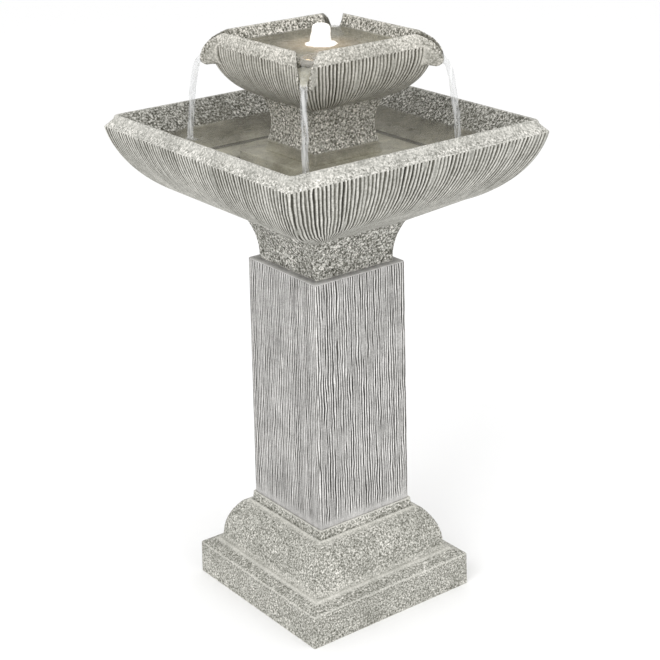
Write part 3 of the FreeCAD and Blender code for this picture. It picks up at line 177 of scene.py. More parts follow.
def arc_between(start, stop, radius, count):
    """Points from start to stop, without stop. A radius above 0 bulges to the right of the way."""
    start, stop = np.array(start, float), np.array(stop, float)
    share = np.arange(count)[:, None] / count
    if not radius:
        return start + (stop - start) * share
    chord = stop - start
    half = np.linalg.norm(chord) / 2
    reach = math.sqrt(radius**2 - half**2)
    across = np.array([-chord[1], chord[0]]) / (2 * half)
    side = math.copysign(1, radius)
    centre = (start + stop) / 2 + across * reach * side
    turn = 2 * math.asin(half / abs(radius)) * side
    first = math.atan2(*(start - centre)[::-1])
    angles = first + turn * share[:, 0]
    return centre + abs(radius) * np.stack([np.cos(angles), np.sin(angles)], axis=1)


class Outline:
    """Rows of a casting's surface, each a rounded square of its own half width and level."""

    def __init__(self, half, level, corner, shift=0.0):
        self.at = (half, level, corner, shift)
        self.rows, self.joints = [], []

    def go(self, half, level, corner=None, shift=0.0, rows=1, bulge=0.0, every=1, **finish):
        """Walks to a new half width and level; finish holds groove, rough, wet and pale."""
        corner = self.at[2] if corner is None else corner
        self.joints.append(len(self.rows))
        places = arc_between(self.at[:2], (half, level), bulge, rows)
        for i, (out, up) in enumerate(places):
            t = i / rows
            sides = self.at[2] + (corner - self.at[2]) * t
            moved = self.at[3] + (shift - self.at[3]) * t
            row = {"half": out, "level": up, "corner": sides, "shift": moved, "every": every}
            for name in ("groove", "rough", "wet", "pale"):
                low_high = finish.get(name, 0.0)
                a, b = low_high if isinstance(low_high, tuple) else (low_high, low_high)
                row[name] = a + (b - a) * t
            row["edge"] = 0.0
            self.rows.append(row)
        self.at = (half, level, corner, shift)
        return self

    def soften(self, width=SOFT_EDGE):
        """Rounds the outline where two stretches meet, and notes how sharply it turned there."""
        count, done = len(self.rows), []
        for i, row in enumerate(self.rows):
            if i not in self.joints:
                done.append(row)
                continue
            before, after = self.rows[i - 1], self.rows[(i + 1) % count]
            here = np.array([row["half"], row["level"]])
            back = np.array([before["half"], before["level"]]) - here
            on = np.array([after["half"], after["level"]]) - here
            far, near = np.linalg.norm(back), np.linalg.norm(on)
            back, on = back / far, on / near
            edge = float(on[0] * back[1] - on[1] * back[0])
            reach = min(width, 0.4 * far, 0.4 * near) if abs(edge) > 0.05 else 0
            if not reach:
                done.append(row)
                continue
            for place in (here + back * reach, here + (back + on) * reach / 4, here + on * reach):
                done.append({**row, "half": place[0], "level": place[1], "edge": edge})
        return done


# %% [markdown]
# A rounded square has four equal sides. Each side's points are spread evenly by length, along the
# flat and round the corner, so a rib that starts at the rim still meets its neighbour at the neck.

# %% Laying the rows
def rounded_square(half, corner, shift, count):
    """x, y and the place along the perimeter, 0 to 4, anticlockwise from the front left corner."""
    share = np.arange(count) / count * 2 - 1
    corner = min(max(corner, 0.01), half)
    flat = half - corner
    length = flat + corner * math.pi / 4
    along = np.abs(share) * length
    angle = np.clip((along - flat) / corner, 0, None)
    across = np.sign(share) * np.where(along > flat, flat + corner * np.sin(angle), along)
    out = np.where(along > flat, flat + corner * np.cos(angle), half)
    x = np.concatenate([across, out, -across, -out]) + shift
    y = np.concatenate([-out, across, out, -across])
    place = np.concatenate([side + np.arange(count) / count for side in range(4)])
    return x, y, place


def lay(name, rows, per_side, shape=None):
    """One closed mesh from the rows; shape may move the points, in millimetres, before it is made."""
    rings = []
    marks = {key: [] for key in ("across", "run", "groove", "rough", "wet", "pale", "edge", "spread")}
    widest = max(row["half"] for row in rows)
    walked = 0.0
    for number, row in enumerate(rows):
        x, y, place = rounded_square(row["half"], row["corner"], row["shift"], per_side // row["every"])
        level = np.full(len(x), row["level"])
        rings.append(np.stack([x, y, level, np.full(len(x), number)], axis=1))
        marks["across"].append(place)
        before = rows[number - 1]
        walked += math.dist((row["half"], row["level"]), (before["half"], before["level"]))
        marks["run"].append(np.full(len(x), walked / 100))
        marks["spread"].append(np.full(len(x), row["half"] / widest))
        for key in ("groove", "rough", "wet", "pale", "edge"):
            marks[key].append(np.full(len(x), row[key]))
    sizes = [len(ring) for ring in rings]
    starts = np.concatenate([[0], np.cumsum(sizes)[:-1]])
    faces = []
    for r, first in enumerate(starts):
        second = starts[(r + 1) % len(rows)]
        here, there = sizes[r], sizes[(r + 1) % len(rows)]
        cells_here = min(here, there)
        many, more = here // cells_here, there // cells_here
        j = np.arange(cells_here)
        low = [first + (j * many + k) % here for k in range(many + 1)]
        high = [second + (j * more + k) % there for k in range(more, -1, -1)]
        faces.extend(np.stack(low + high, axis=1).tolist())
    points = np.concatenate(rings)
    marks = {key: np.concatenate(found) for key, found in marks.items()}
    if shape:
        points, marks = shape(points, marks)
    mesh = bpy.data.meshes.new(name)
    mesh.from_pydata((points[:, :3] * MM).tolist(), [], faces)
    mesh.polygons.foreach_set("use_smooth", [True] * len(faces))
    for key, found in marks.items():
        mesh.attributes.new(key, "FLOAT", "POINT").data.foreach_set("value", found.astype(np.float32))
    piece = bpy.data.objects.new(name, mesh)
    bpy.context.scene.collection.objects.link(piece)
    print(f"{name}: {len(rows)} rows, {len(points)} points")
    return piece


# %% [markdown]
# ## Carving
# Every groove, and the grain between them, follows one rule. So a Geometry Nodes tree carves them:
# it counts ribs along the perimeter, lets each wander a little, gives each its own luck for width,
# depth and length, and sinks the surface along its normal. It also writes how deep each point went
# and how proud each rib stands, so that the finish can paint shade in the grooves and a highlight on the
# ribs.

# %% The carving tree
def new_tree(name, sockets):
    """An empty Geometry Nodes tree with these inputs; returns it and a dict of their wires."""
    tree = bpy.data.node_groups.new(name, "GeometryNodeTree")
    tree.interface.new_socket("Geometry", in_out="OUTPUT", socket_type="NodeSocketGeometry")
    for label, kind in {"Geometry": "NodeSocketGeometry", **sockets}.items():
        tree.interface.new_socket(label, in_out="INPUT", socket_type=kind)
    entry = tree.nodes.new("NodeGroupInput")
    return tree, {label: Wire(tree, entry.outputs[label]) for label in ("Geometry", *sockets)}


def close_tree(tree, geometry, finish):
    """Realize Instances, Set Material and the output."""
    real = geometry.node("GeometryNodeRealizeInstances", {}, {"Geometry": geometry})
    painted = real.node("GeometryNodeSetMaterial", {}, {"Geometry": real, "Material": finish})
    tree.links.new(painted.socket, tree.nodes.new("NodeGroupOutput").inputs["Geometry"])


def run_tree(piece, tree, **values):
    """Runs the tree on the piece and keeps the result as its plain mesh."""
    modifier = piece.modifiers.new(tree.name, "NODES")
    modifier.node_group = tree
    for item in tree.interface.items_tree:
        if item.in_out == "INPUT" and item.name in values:
            modifier[item.identifier] = values[item.name]
    seen = piece.evaluated_get(bpy.context.evaluated_depsgraph_get())
    mesh = bpy.data.meshes.new_from_object(seen)
    piece.modifiers.remove(modifier)
    old, piece.data = piece.data, mesh
    bpy.data.meshes.remove(old)
    mesh.name = piece.name
    return piece


FLOAT, SHADE = "NodeSocketFloat", "NodeSocketMaterial"
carving, given = new_tree("carving", {
    "Ribs Per Side": FLOAT, "Groove Depth": FLOAT, "Groove Width": FLOAT, "Wander": FLOAT,
    "Breaks": FLOAT, "Broken Share": FLOAT, "Grain Height": FLOAT, "Grain Size": FLOAT,
    "Seed": FLOAT, "Finish": SHADE})
board = Wire(carving)
seed = given["Seed"]
mark = {key: board.node("GeometryNodeInputNamedAttribute", {"data_type": "FLOAT"}, {"Name": key})
        for key in ("across", "run", "groove", "rough", "spread")}
place = board.node("GeometryNodeInputPosition")
ribs_along = mark["across"] * given["Ribs Per Side"]
drift = board.noise(board.vector(ribs_along * 0.35, mark["run"] * 3.0, seed), 1.0, 1.0) - 0.5
rib = ribs_along + drift * given["Wander"] * 2.0
number = rib.maths("FLOOR", rib)
from_middle = rib.maths("ABSOLUTE", rib.maths("FRACT", rib) - 0.5) * 2.0
luck = board.node("ShaderNodeTexWhiteNoise", {"noise_dimensions": "1D"}, {"W": number + seed})
chance = board.node("ShaderNodeTexWhiteNoise", {"noise_dimensions": "1D"}, {"W": number * 1.7 + seed})
width = given["Groove Width"] * (luck * 0.7 + 0.65)
valley = from_middle.step(width, width * 0.2)
crest = from_middle.step(width * 0.85, width + 0.2)
stretch = board.noise(board.vector(number * 7.3, mark["run"] * given["Breaks"], seed), 1.0, 1.0)
present = stretch.step(given["Broken Share"] - 0.04, given["Broken Share"] + 0.06)
cut = valley * present * mark["groove"] * (chance * 0.6 + 0.4)
proud = crest * present * mark["groove"] * (luck * 0.6 + 0.4)
grain = board.noise(place, given["Grain Size"], 2.0, 0.6) - 0.5
lift = grain * given["Grain Height"] * mark["rough"] - cut * mark["spread"] * given["Groove Depth"]
offset = board.node("ShaderNodeVectorMath", {"operation": "SCALE"},
                    {"Vector": board.node("GeometryNodeInputNormal"), "Scale": lift})
moved = board.node("GeometryNodeSetPosition", {}, {"Geometry": given["Geometry"], "Offset": offset})
# cavity and ridge feed the finish, which paints shade in the grooves and a highlight on the rib crests.
for label, wire in (("cavity", cut), ("ridge", proud), ("tone", chance)):
    moved = moved.node("GeometryNodeStoreNamedAttribute", {"data_type": "FLOAT", "domain": "POINT"},
                       {"Geometry": moved, "Name": label, "Value": wire})
close_tree(carving, moved, given["Finish"])
print("carving tree:", len(carving.nodes), "nodes")

# %% [markdown]
# ## The stone
# The castings are a pale resin stone, and one finish serves them all. Rib crests get a painted highlight,
# and convex edges are lighter, partly rubbed pale and partly a painted highlight. Painted shade fills the
# grooves and the creases where two mouldings meet, and the surface is speckled where the mould was
# rough. Below the waterline it turns smooth and olive.

# %% The stone finish
def new_finish(name):
    material = bpy.data.materials.new(name)
    material.use_nodes = True
    tree = material.node_tree
    return material, tree.nodes["Principled BSDF"], Wire(tree)


def feed(board, shader, **wires):
    """Links wires to the shader's sockets; an underscore in a name stands for a space."""
    for name, wire in wires.items():
        board.tree.links.new(wire.socket, shader.inputs[name.replace("_", " ")])


def tint(level, warmth=0.0, green=0.0):
    """A linear colour from a grey as the eye judges it, 0 to 1."""
    base = [level * (1 + warmth), level * (1 + green), level * (1 - warmth)]
    return (*[min(v, 1) ** 2.2 for v in base], 1)


def stone(name, ground, grit, fleck_size, groove_shade=0.5, ridge=0.2, crease_shade=0.2, shade=0.06, green=0.018,
          warmth=0.022):
    """ground is the plain grey and grit the speckle's strength; four more set the painted shade in grooves,
    creases and rough zones and the painted highlight on the ribs.
    """
    material, shader, board = new_finish(name)
    at = board.node("ShaderNodeTexCoord", {}, {}, out="Object")
    mark = {key: board.node("ShaderNodeAttribute", {"attribute_name": key}, {}, out="Fac")
            for key in ("cavity", "ridge", "tone", "rough", "wet", "pale", "edge")}
    flecks = board.noise(at, 1 / (fleck_size * MM), 2.0, 0.6)
    crumbs = board.noise(at, 2.1 / (fleck_size * MM), 1.0, 0.5)
    clouds = board.noise(at, 13.0, 3.0, 0.6)
    drifts = board.noise(at, 65.0, 3.0, 0.6)
    # Convex edges are lighter, partly rubbed wear and partly a painted highlight.
    rubbed_and_lit_edge = mark["edge"].step(0.1, 0.9)
    # Concave creases, where two mouldings meet, are darker: painted shade.
    corner = mark["edge"].step(-0.2, -0.95)
    speckle = (flecks - 0.5) * 1.9 + (crumbs - 0.5) * 0.9
    rough_here = mark["rough"] * (1 - rubbed_and_lit_edge * 0.6) + 0.12
    # Painted light in this level: a highlight on the rib crests, and shade in the grooves, in the creases and
    # on the rough zones.
    level = (speckle * rough_here * grit * (clouds * 0.8 + 0.6) + ground
             + mark["ridge"] * ridge * (drifts + 0.5) - mark["cavity"] * groove_shade * (drifts * 0.9 + 0.55)
             + rubbed_and_lit_edge * 0.13 - corner * crease_shade + mark["pale"] * 0.13 - mark["rough"] * shade
             + (clouds - 0.5) * 0.22 + (drifts - 0.5) * 0.16 + (mark["tone"] - 0.5) * 0.06).bounded()
    stops = [(0.0, tint(0.09, warmth * 2.5, green * 2)[:3]), (0.3, tint(0.28, warmth * 3.5, green * 2.4)[:3]),
             (0.55, tint(0.55, warmth * 1.2, green)[:3]), (0.78, tint(0.79, warmth, green * 0.6)[:3]),
             (1.0, tint(0.97, warmth * 0.9, green * 0.2)[:3])]
    dry = board.node("ShaderNodeValToRGB", {"stops": stops}, {"Fac": level})
    # Under water it darkens where silt settles, and in the creases as painted shade.
    silt_and_crease_shade = (flecks * 0.7 + clouds * 1.6 + drifts * 0.6 + corner * 1.2 + mark["rough"] * 0.6 - 1.12).bounded()
    soaked = silt_and_crease_shade.blend(tint(0.80, 0.06, 0.04), tint(0.30, 0.10, 0.06))
    colour = mark["wet"].bounded().blend(dry, soaked)
    pits = (flecks * 0.6 + crumbs * 0.4) * (mark["rough"] * 0.8 + 0.2)
    bump = board.node("ShaderNodeBump", {}, {"Strength": 0.6, "Distance": 1.1 * MM, "Height": pits})
    feed(board, shader, Base_Color=colour, Normal=bump,
         Roughness=0.9 - mark["wet"] * 0.45 + (crumbs - 0.5) * 0.15)
    return material


# A shade above 0 darkens the rough zones: painted shade, meant for the necks under the rims and the inner
# walls.
STONES = {
    "base_casting": stone("stone_base", 0.58, 0.68, 2.8, crease_shade=0.10, shade=0.0, green=0.026, warmth=0.024),
    "column": stone("stone_column", 0.585, 0.45, 2.4, groove_shade=0.70, ridge=0.44, shade=0.0, green=0.004,
                    warmth=0.010),
    "lower_bowl": stone("stone_lower_bowl", 0.59, 0.82, 3.4, groove_shade=0.56, ridge=0.24, crease_shade=0.14, shade=0.07,
                        green=0.022),
    "upper_bowl": stone("stone_upper_bowl", 0.615, 0.80, 3.2, groove_shade=0.48, ridge=0.16, crease_shade=0.16, shade=0.03,
                        green=0.024, warmth=0.030),
}
print("stone finishes:", ", ".join(STONES))

# %% [markdown]
# ## The base
# A square plinth with a sloping top, a small ridge, a quarter-round skirt and a collar that the
# column stands in. Inside it is hollow. The cable leaves through a hole at the back.

# %% Cast the base
base = Outline(PLINTH, 0, 3)
SKIRT_FOOT, COLLAR_FOOT = 66, COLLAR_TOP - 14
COLLAR = COLUMN_HALF + 3.8
base.go(PLINTH - 1, 54, rows=22, rough=1)
base.go(PLINTH - 19, 62.5, rows=8, rough=0.9)
base.go(PLINTH - 24, 64.5, rows=4, bulge=4, rough=0.2, pale=1)
base.go(PLINTH - 26.2, SKIRT_FOOT, rows=1, rough=0.3, pale=1)
base.go(PLINTH - 28, SKIRT_FOOT + 10, rows=4, rough=(0.5, 0.9), pale=(0.9, 0))
base.go(COLLAR + 12, COLLAR_FOOT - 5, rows=24, bulge=90, rough=0.9)
base.go(COLLAR + 4, COLLAR_FOOT - 1.5, rows=4, rough=(0.9, 0.2), pale=(0, 1.3))
base.go(COLLAR, COLLAR_FOOT, rows=1, rough=0.2, pale=1.3)
base.go(COLLAR - 1, COLLAR_TOP, rows=6, corner=2.5, rough=1)
base.go(COLUMN_HALF + 0.5, COLLAR_TOP, rows=1, every=5, rough=0.5)
base.go(COLUMN_HALF + 0.5, COLUMN_FOOT, rows=1, every=5)
base.go(COLUMN_HALF - 12, COLUMN_FOOT, rows=1, every=5)
base.go(COLUMN_HALF - 12, COLUMN_FOOT - 14, rows=2, every=5)
base.go(PLINTH - 36, SKIRT_FOOT - 4.5, rows=8, bulge=-90, every=5, rough=0.5)
base.go(PLINTH - 11, 44, rows=3, every=5, rough=0.5)
base.go(PLINTH - 10, 0, rows=4, every=5, rough=0.5)
base.go(PLINTH, 0, rows=1, every=5)
base_casting = lay("cast_base", base.soften(), 155)

# %% The cable's hole in the base
low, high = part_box("rear_grommet")
bpy.ops.mesh.primitive_cylinder_add(
    vertices=48, radius=(high.z - low.z) / 2 - 1.4 * MM, depth=0.03, rotation=(math.pi / 2, 0, 0),
    location=((low.x + high.x) / 2, high.y, (low.z + high.z) / 2))
drill = bpy.context.object
hole = base_casting.modifiers.new("hole", "BOOLEAN")
hole.operation, hole.object, hole.solver = "DIFFERENCE", drill, "EXACT"
drilled = bpy.data.meshes.new_from_object(
    base_casting.evaluated_get(bpy.context.evaluated_depsgraph_get()))
base_casting.modifiers.clear()
base_casting.data = drilled
bpy.data.objects.remove(drill)
run_tree(base_casting, carving, **{"Grain Height": 0.9 * MM, "Grain Size": 420.0, "Ribs Per Side": 1.0,
                                  "Finish": STONES["base_casting"]})
print("base drilled for its cable:", len(base_casting.data.polygons), "faces")

# %% [markdown]
# ## The column
# A plain hollow shaft, whose four faces are scored from top to bottom with grooves of uneven
# length. They stop short of the foot, where a pale smooth margin is left, and the top is flat.

# %% Cast the column
COLUMN_TAPER = 2.8
SPIGOT = 50.5
top_half = COLUMN_HALF - COLUMN_TAPER
shaft = Outline(COLUMN_HALF, COLUMN_FOOT, 2.5)
shaft.go(COLUMN_HALF - 0.1, COLUMN_FOOT + 12, rows=2, rough=0.2, pale=0.6)
shaft.go(COLUMN_HALF - 0.2, COLUMN_FOOT + 26, rows=4, rough=0.2, groove=(0.05, 1.0), pale=(0.6, 0.0))
shaft.go(top_half, COLUMN_HEAD - 3, rows=62, rough=0.25, groove=1.0)
shaft.go(top_half, COLUMN_HEAD, rows=2, groove=(1.0, 0.0), rough=0.2)
shaft.go(SPIGOT, COLUMN_HEAD, corner=SPIGOT, rows=4, every=8, rough=0.15)
shaft.go(SPIGOT, COLUMN_HEAD - 12, rows=1, every=8)
shaft.go(top_half - 8, COLUMN_HEAD - 12, corner=2, rows=2, every=8)
shaft.go(COLUMN_HALF - 8, COLUMN_FOOT, rows=6, every=8)
shaft.go(COLUMN_HALF, COLUMN_FOOT, corner=2.5, rows=1, every=8)
column = lay("cast_column", shaft.soften(1.2), 320)
run_tree(column, carving, **{
    "Ribs Per Side": 38.0, "Groove Depth": 1.6 * MM, "Groove Width": 0.58, "Wander": 0.6,
    "Breaks": 1.2, "Broken Share": 0.42, "Grain Height": 0.35 * MM, "Grain Size": 500.0,
    "Seed": 11.0, "Finish": STONES["column"]})

# %% [markdown]
# ## The lower bowl
# Ribs fan out from the neck to the rim. The rim is a smooth sloping band with a thin lip inside it,
# and the basin's walls fall at 45 degrees to a smooth floor, with a raised platform in the middle
# that carries the pump and the upper bowl.

# %% Cast the lower bowl
NECK_TOP = COLUMN_HEAD + 63
BELLY, BELLY_LEVEL = 150, NECK_TOP + 35
EDGE = RIM_TOP - 20
CABLE_HOLE, CABLE_SHIFT = 7, 31
FLOOR = RIM_TOP - 66
BORE = 44
lower = Outline(50, COLUMN_HEAD - 10, 50)
lower.go(50, COLUMN_HEAD, rows=1, every=8)
lower.go(72.5, COLUMN_HEAD, corner=2.5, rows=2, every=8, rough=0.5)
lower.go(86, NECK_TOP, rows=21, bulge=-125, every=4, rough=1)
lower.go(88, NECK_TOP + 1.5, rows=1, every=4, rough=0.5)
lower.go(BELLY, BELLY_LEVEL, corner=5, rows=11, groove=(0.75, 1.0), rough=0.12)
lower.go(RIM_HALF, EDGE, corner=9, rows=24, bulge=142, groove=1.0, rough=0.10)
lower.go(RIM_HALF + 0.3, EDGE + 1.4, corner=9, rows=2, groove=1.0, rough=0.1)
lower.go(RIM_HALF - 0.3, EDGE + 2.8, corner=9, rows=2, groove=(1.0, 0.0), rough=0.3)
lower.go(RIM_HALF - 9, EDGE + 12, corner=8, rows=4, every=2, rough=0.6, pale=(0.9, 1.0))
lower.go(RIM_HALF - 11.5, RIM_TOP - 3, corner=7, rows=4, every=2, bulge=-9, rough=0.3, pale=0.8)
lower.go(RIM_HALF - 16, RIM_TOP, corner=5, rows=3, every=2, bulge=5, rough=0.4, pale=0.8)
WALL = RIM_HALF - 16 - (RIM_TOP - LOWER_WATER) * 56 / 66
lower.go(WALL, LOWER_WATER, corner=4, rows=13, every=4, rough=(0.9, 1.15), wet=(0.0, 0.15))
lower.go(RIM_HALF - 72, FLOOR, corner=5, rows=9, every=4, rough=(1.0, 0.3), wet=(0.7, 1))
lower.go(106, FLOOR, corner=16, rows=5, every=8, wet=1, rough=0.1)
lower.go(105, FLOOR - 4, corner=15, rows=2, every=8, wet=1)
lower.go(93, FLOOR - 4, corner=14, rows=1, every=8, wet=1)
lower.go(92, PLATFORM_TOP, corner=14, rows=3, every=8, wet=1)
lower.go(60, PLATFORM_TOP, corner=12, rows=3, every=8, wet=1, rough=0.1)
lower.go(CABLE_HOLE, PLATFORM_TOP, corner=CABLE_HOLE, shift=CABLE_SHIFT, rows=4, every=8, wet=1)
lower.go(CABLE_HOLE, PLATFORM_TOP - 14, shift=CABLE_SHIFT, rows=1, every=8, wet=1)
lower.go(BORE, PLATFORM_TOP - 14, corner=BORE, rows=2, every=8)
lower.go(BORE, FLOOR - 12, rows=1, every=8)
lower.go(RIM_HALF - 75, FLOOR - 12, corner=5, rows=3, every=8)
lower.go(RIM_HALF - 33, EDGE - 16, rows=4, every=8)
lower.go(RIM_HALF - 16, EDGE - 16, corner=8, rows=1, every=8)
lower.go(BELLY - 5, BELLY_LEVEL + 8, corner=5, rows=6, bulge=-134, every=8)
lower.go(72, NECK_TOP + 4, rows=3, every=8)
lower.go(BORE, NECK_TOP + 4, corner=BORE, rows=2, every=8)
lower.go(BORE, COLUMN_HEAD - 10, rows=3, every=8)
lower.go(50, COLUMN_HEAD - 10, corner=50, rows=1, every=8)
lower_bowl = lay("cast_lower_bowl", lower.soften(), 464)
run_tree(lower_bowl, carving, **{
    "Ribs Per Side": 66.0, "Groove Depth": 2.4 * MM, "Groove Width": 0.60, "Wander": 0.35,
    "Breaks": 1.1, "Broken Share": 0.33, "Grain Height": 0.9 * MM, "Grain Size": 300.0,
    "Seed": 3.0, "Finish": STONES["lower_bowl"]})

# %% [markdown]
# ## The upper bowl
# The same ribs and a softer, rounder rim. At each corner the rim opens into a spout: its bed
# leaves the bowl, bends down and reaches out past the corner. The corner's points are drawn
# towards that bed in the middle, and onto a higher path beside it, the cheek, which gives the spout
# its raised sides. Both share one underside, which makes the beak.

# %% Shape a spout at each corner
BEAK_HALF, BEAK_SPREAD = 9.0, 15.5
UNDERSIDE = [(157, CREST - 48), (166, CREST - 47.5), (173, CREST - 45.5), (177, CREST - 41.5)]
BED = UNDERSIDE + [(175.5, CREST - 37), (170, CREST - 31.5), (162, CREST - 27), (152, CREST - 24),
                   (138, CREST - 22.5), (128, CREST - 22.5)]
CHEEK = UNDERSIDE + [(176.2, CREST - 34), (173, CREST - 25), (168, CREST - 17), (162, CREST - 9),
                     (158, CREST - 2.5), (155.5, CREST - 0.6), (150, CREST - 0.8), (147, CREST - 4),
                     (138, CREST - 22.5)]
OPENING = [(0.0, 5.5), (0.25, 5.5), (0.40, 6.0), (0.55, 8.5), (0.68, 14.5), (0.80, 12.0), (1.0, 7.0)]


def smooth(low, high, values):
    t = np.clip((values - low) / (high - low), 0, 1)
    return t * t * (3 - 2 * t)


def along(path, share):
    """Points at these shares of a path's length."""
    path = np.array(path, float)
    run = np.concatenate([[0], np.cumsum(np.linalg.norm(np.diff(path, axis=0), axis=1))])
    return np.stack([np.interp(share * run[-1], run, path[:, k]) for k in (0, 1)], axis=1)


def with_spouts(rows):
    """A shaping step for lay(): draws the rows from under the rim to inside it onto the bed."""
    first = next(i for i, r in enumerate(rows) if r["level"] > BED[0][1] and r["half"] > 100)
    last = max(i for i, r in enumerate(rows) if r["level"] > BED[-1][1] and r["half"] > 90)
    walked = np.array([[r["half"], r["level"]] for r in rows[first:last + 1]])
    steps = np.concatenate([[0], np.cumsum(np.linalg.norm(np.diff(walked, axis=0), axis=1))])
    shares = steps / steps[-1]

    def shape(points, marks):
        number = points[:, 3].astype(int)
        x, y = points[:, 0], points[:, 1]
        aside = (np.abs(x) - np.abs(y)) / math.sqrt(2)
        reach = (np.abs(x) + np.abs(y)) / math.sqrt(2)
        inside = (number >= first) & (number <= last)
        share = np.where(inside, shares[np.clip(number - first, 0, len(shares) - 1)], 0)
        pull = inside * smooth(0, 0.08, share) * (1 - smooth(0.92, 1, share))
        half_open = np.interp(share, *zip(*OPENING))
        in_bed = (1 - smooth(half_open - 1.2, half_open + 2.6, np.abs(aside))) * pull
        in_cheek = (1 - smooth(BEAK_HALF, BEAK_SPREAD, np.abs(aside))) * pull
        place = np.stack([reach, points[:, 2]], axis=1)
        place += (along(CHEEK, share) - place) * in_cheek[:, None]
        place += (along(BED, share) - place) * in_bed[:, None]
        points[:, 2] = place[:, 1]
        points[:, 0] = np.sign(x) * (place[:, 0] + aside) / math.sqrt(2)
        points[:, 1] = np.sign(y) * (place[:, 0] - aside) / math.sqrt(2)
        pull = np.maximum(in_bed, in_cheek)
        bed = in_bed * smooth(0.22, 0.32, share)
        marks["groove"] = marks["groove"] * (1 - smooth(0.0, 0.35, pull))
        marks["rough"] = marks["rough"] * (1 - bed) + 0.6 * pull * (1 - bed)
        marks["wet"] = np.maximum(marks["wet"], smooth(0.6, 1, bed))
        # Along the sides of the bed the pale mark turns negative, and in the bed the edge mark too: painted
        # shade in the spout's creases.
        marks["pale"] = marks["pale"] * (1 - pull) - 9 * in_bed * (1 - in_bed) * smooth(0.15, 0.3, share)
        marks["edge"] = marks["edge"] * (1 - pull) - 0.6 * smooth(0.3, 0.9, bed) * (1 - smooth(0.9, 1, bed))
        return intakes(points, marks)

    return shape


INTAKE_HALF, INTAKE_TOP = 15, PLATFORM_TOP + 12


def intakes(points, marks):
    """Lifts the foot of the neck over the water intakes, at the back and the right."""
    x, y, level = points[:, 0], points[:, 1], points[:, 2]
    back = (np.abs(x) < INTAKE_HALF) & (y > 40)
    right = (np.abs(y) < INTAKE_HALF) & (x > 40)
    raised = (back | right) & (level < INTAKE_TOP) & (np.maximum(np.abs(x), np.abs(y)) < 70)
    points[raised, 2] = INTAKE_TOP + (level[raised] - PLATFORM_TOP) * 0.01
    return points, marks


# %% Cast the upper bowl
upper = Outline(62, PLATFORM_TOP, 2.5)
UPPER_NECK_TOP = PLATFORM_TOP + 81
UPPER_FLOOR = CREST - 59
THREAD, CHAMBER, CEILING = 10.2, 46, UPPER_FLOOR - 13
WET_LINE = LOWER_WATER + 3
upper.go(58.5, WET_LINE, rows=6, every=2, bulge=-89, rough=(0.2, 0.5), wet=(1, 0.6))
upper.go(64, UPPER_NECK_TOP, rows=20, every=2, bulge=-80, rough=1)
upper.go(66, UPPER_NECK_TOP + 1.5, rows=1, every=2, rough=0.5)
upper.go(116, CREST - 21.5, corner=7, rows=26, bulge=76, groove=(0.8, 1.0), rough=0.10)
upper.go(116.5, CREST - 20, corner=7, rows=2, groove=1.0, rough=0.1)
upper.go(116.3, CREST - 18, corner=7, rows=2, groove=(1.0, 0.0), rough=0.4)
upper.go(111, CREST - 1.2, corner=8, rows=9, bulge=26, rough=0.5, pale=0.4)
upper.go(106, CREST - 0.8, corner=8, rows=4, bulge=3.4, rough=0.45, pale=0.4)
INNER_WATER = 105 - 20 * (CREST - UPPER_WATER) / 59
upper.go(INNER_WATER, UPPER_WATER, corner=7, rows=7, rough=1.1)
upper.go(INNER_WATER - 3, CREST - 26, corner=7, rows=3, rough=0.4, wet=(0.8, 1))
upper.go(85, UPPER_FLOOR, corner=8, rows=8, every=4, rough=0.2, wet=1)
upper.go(THREAD, UPPER_FLOOR, corner=THREAD, rows=5, every=8, wet=1)
upper.go(THREAD, CEILING, rows=1, every=8, wet=1)
upper.go(CHAMBER, CEILING, corner=2, rows=2, every=8)
upper.go(CHAMBER, PLATFORM_TOP, rows=5, every=2, rough=0.3)
upper.go(62, PLATFORM_TOP, corner=2.5, rows=1, every=2)
upper_rows = upper.soften()
upper_bowl = lay("cast_upper_bowl", upper_rows, 352, with_spouts(upper_rows))
run_tree(upper_bowl, carving, **{
    "Ribs Per Side": 36.0, "Groove Depth": 2.2 * MM, "Groove Width": 0.58, "Wander": 0.35,
    "Breaks": 1.4, "Broken Share": 0.34, "Grain Height": 0.8 * MM, "Grain Size": 320.0,
    "Seed": 7.0, "Finish": STONES["upper_bowl"]})

# %% [markdown]
# Each casting stands for its plain node in the frame and rides with that node's body.

# %% Put the castings on their bodies
CASTINGS = {"base_casting": (base_casting, "root"), "column": (column, "root"),
            "lower_bowl": (lower_bowl, "lower_bowl"), "upper_bowl": (upper_bowl, "upper_bowl")}
for node, (piece, body) in CASTINGS.items():
    piece.name = node + "_stone"
    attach(piece, body)
    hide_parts(node)
    print(piece.name, "rides on", body, "with", len(piece.data.polygons), "faces")

# %% [markdown]
# ## Water
# Still water is a thin sheet with rings spreading from where each stream lands. The rings are a
# rule, so a tree lifts the sheet by a sum of fading waves round each landing.

# %% The water finishes
DIAGONALS = [math.radians(45 + 90 * turn) for turn in range(4)]


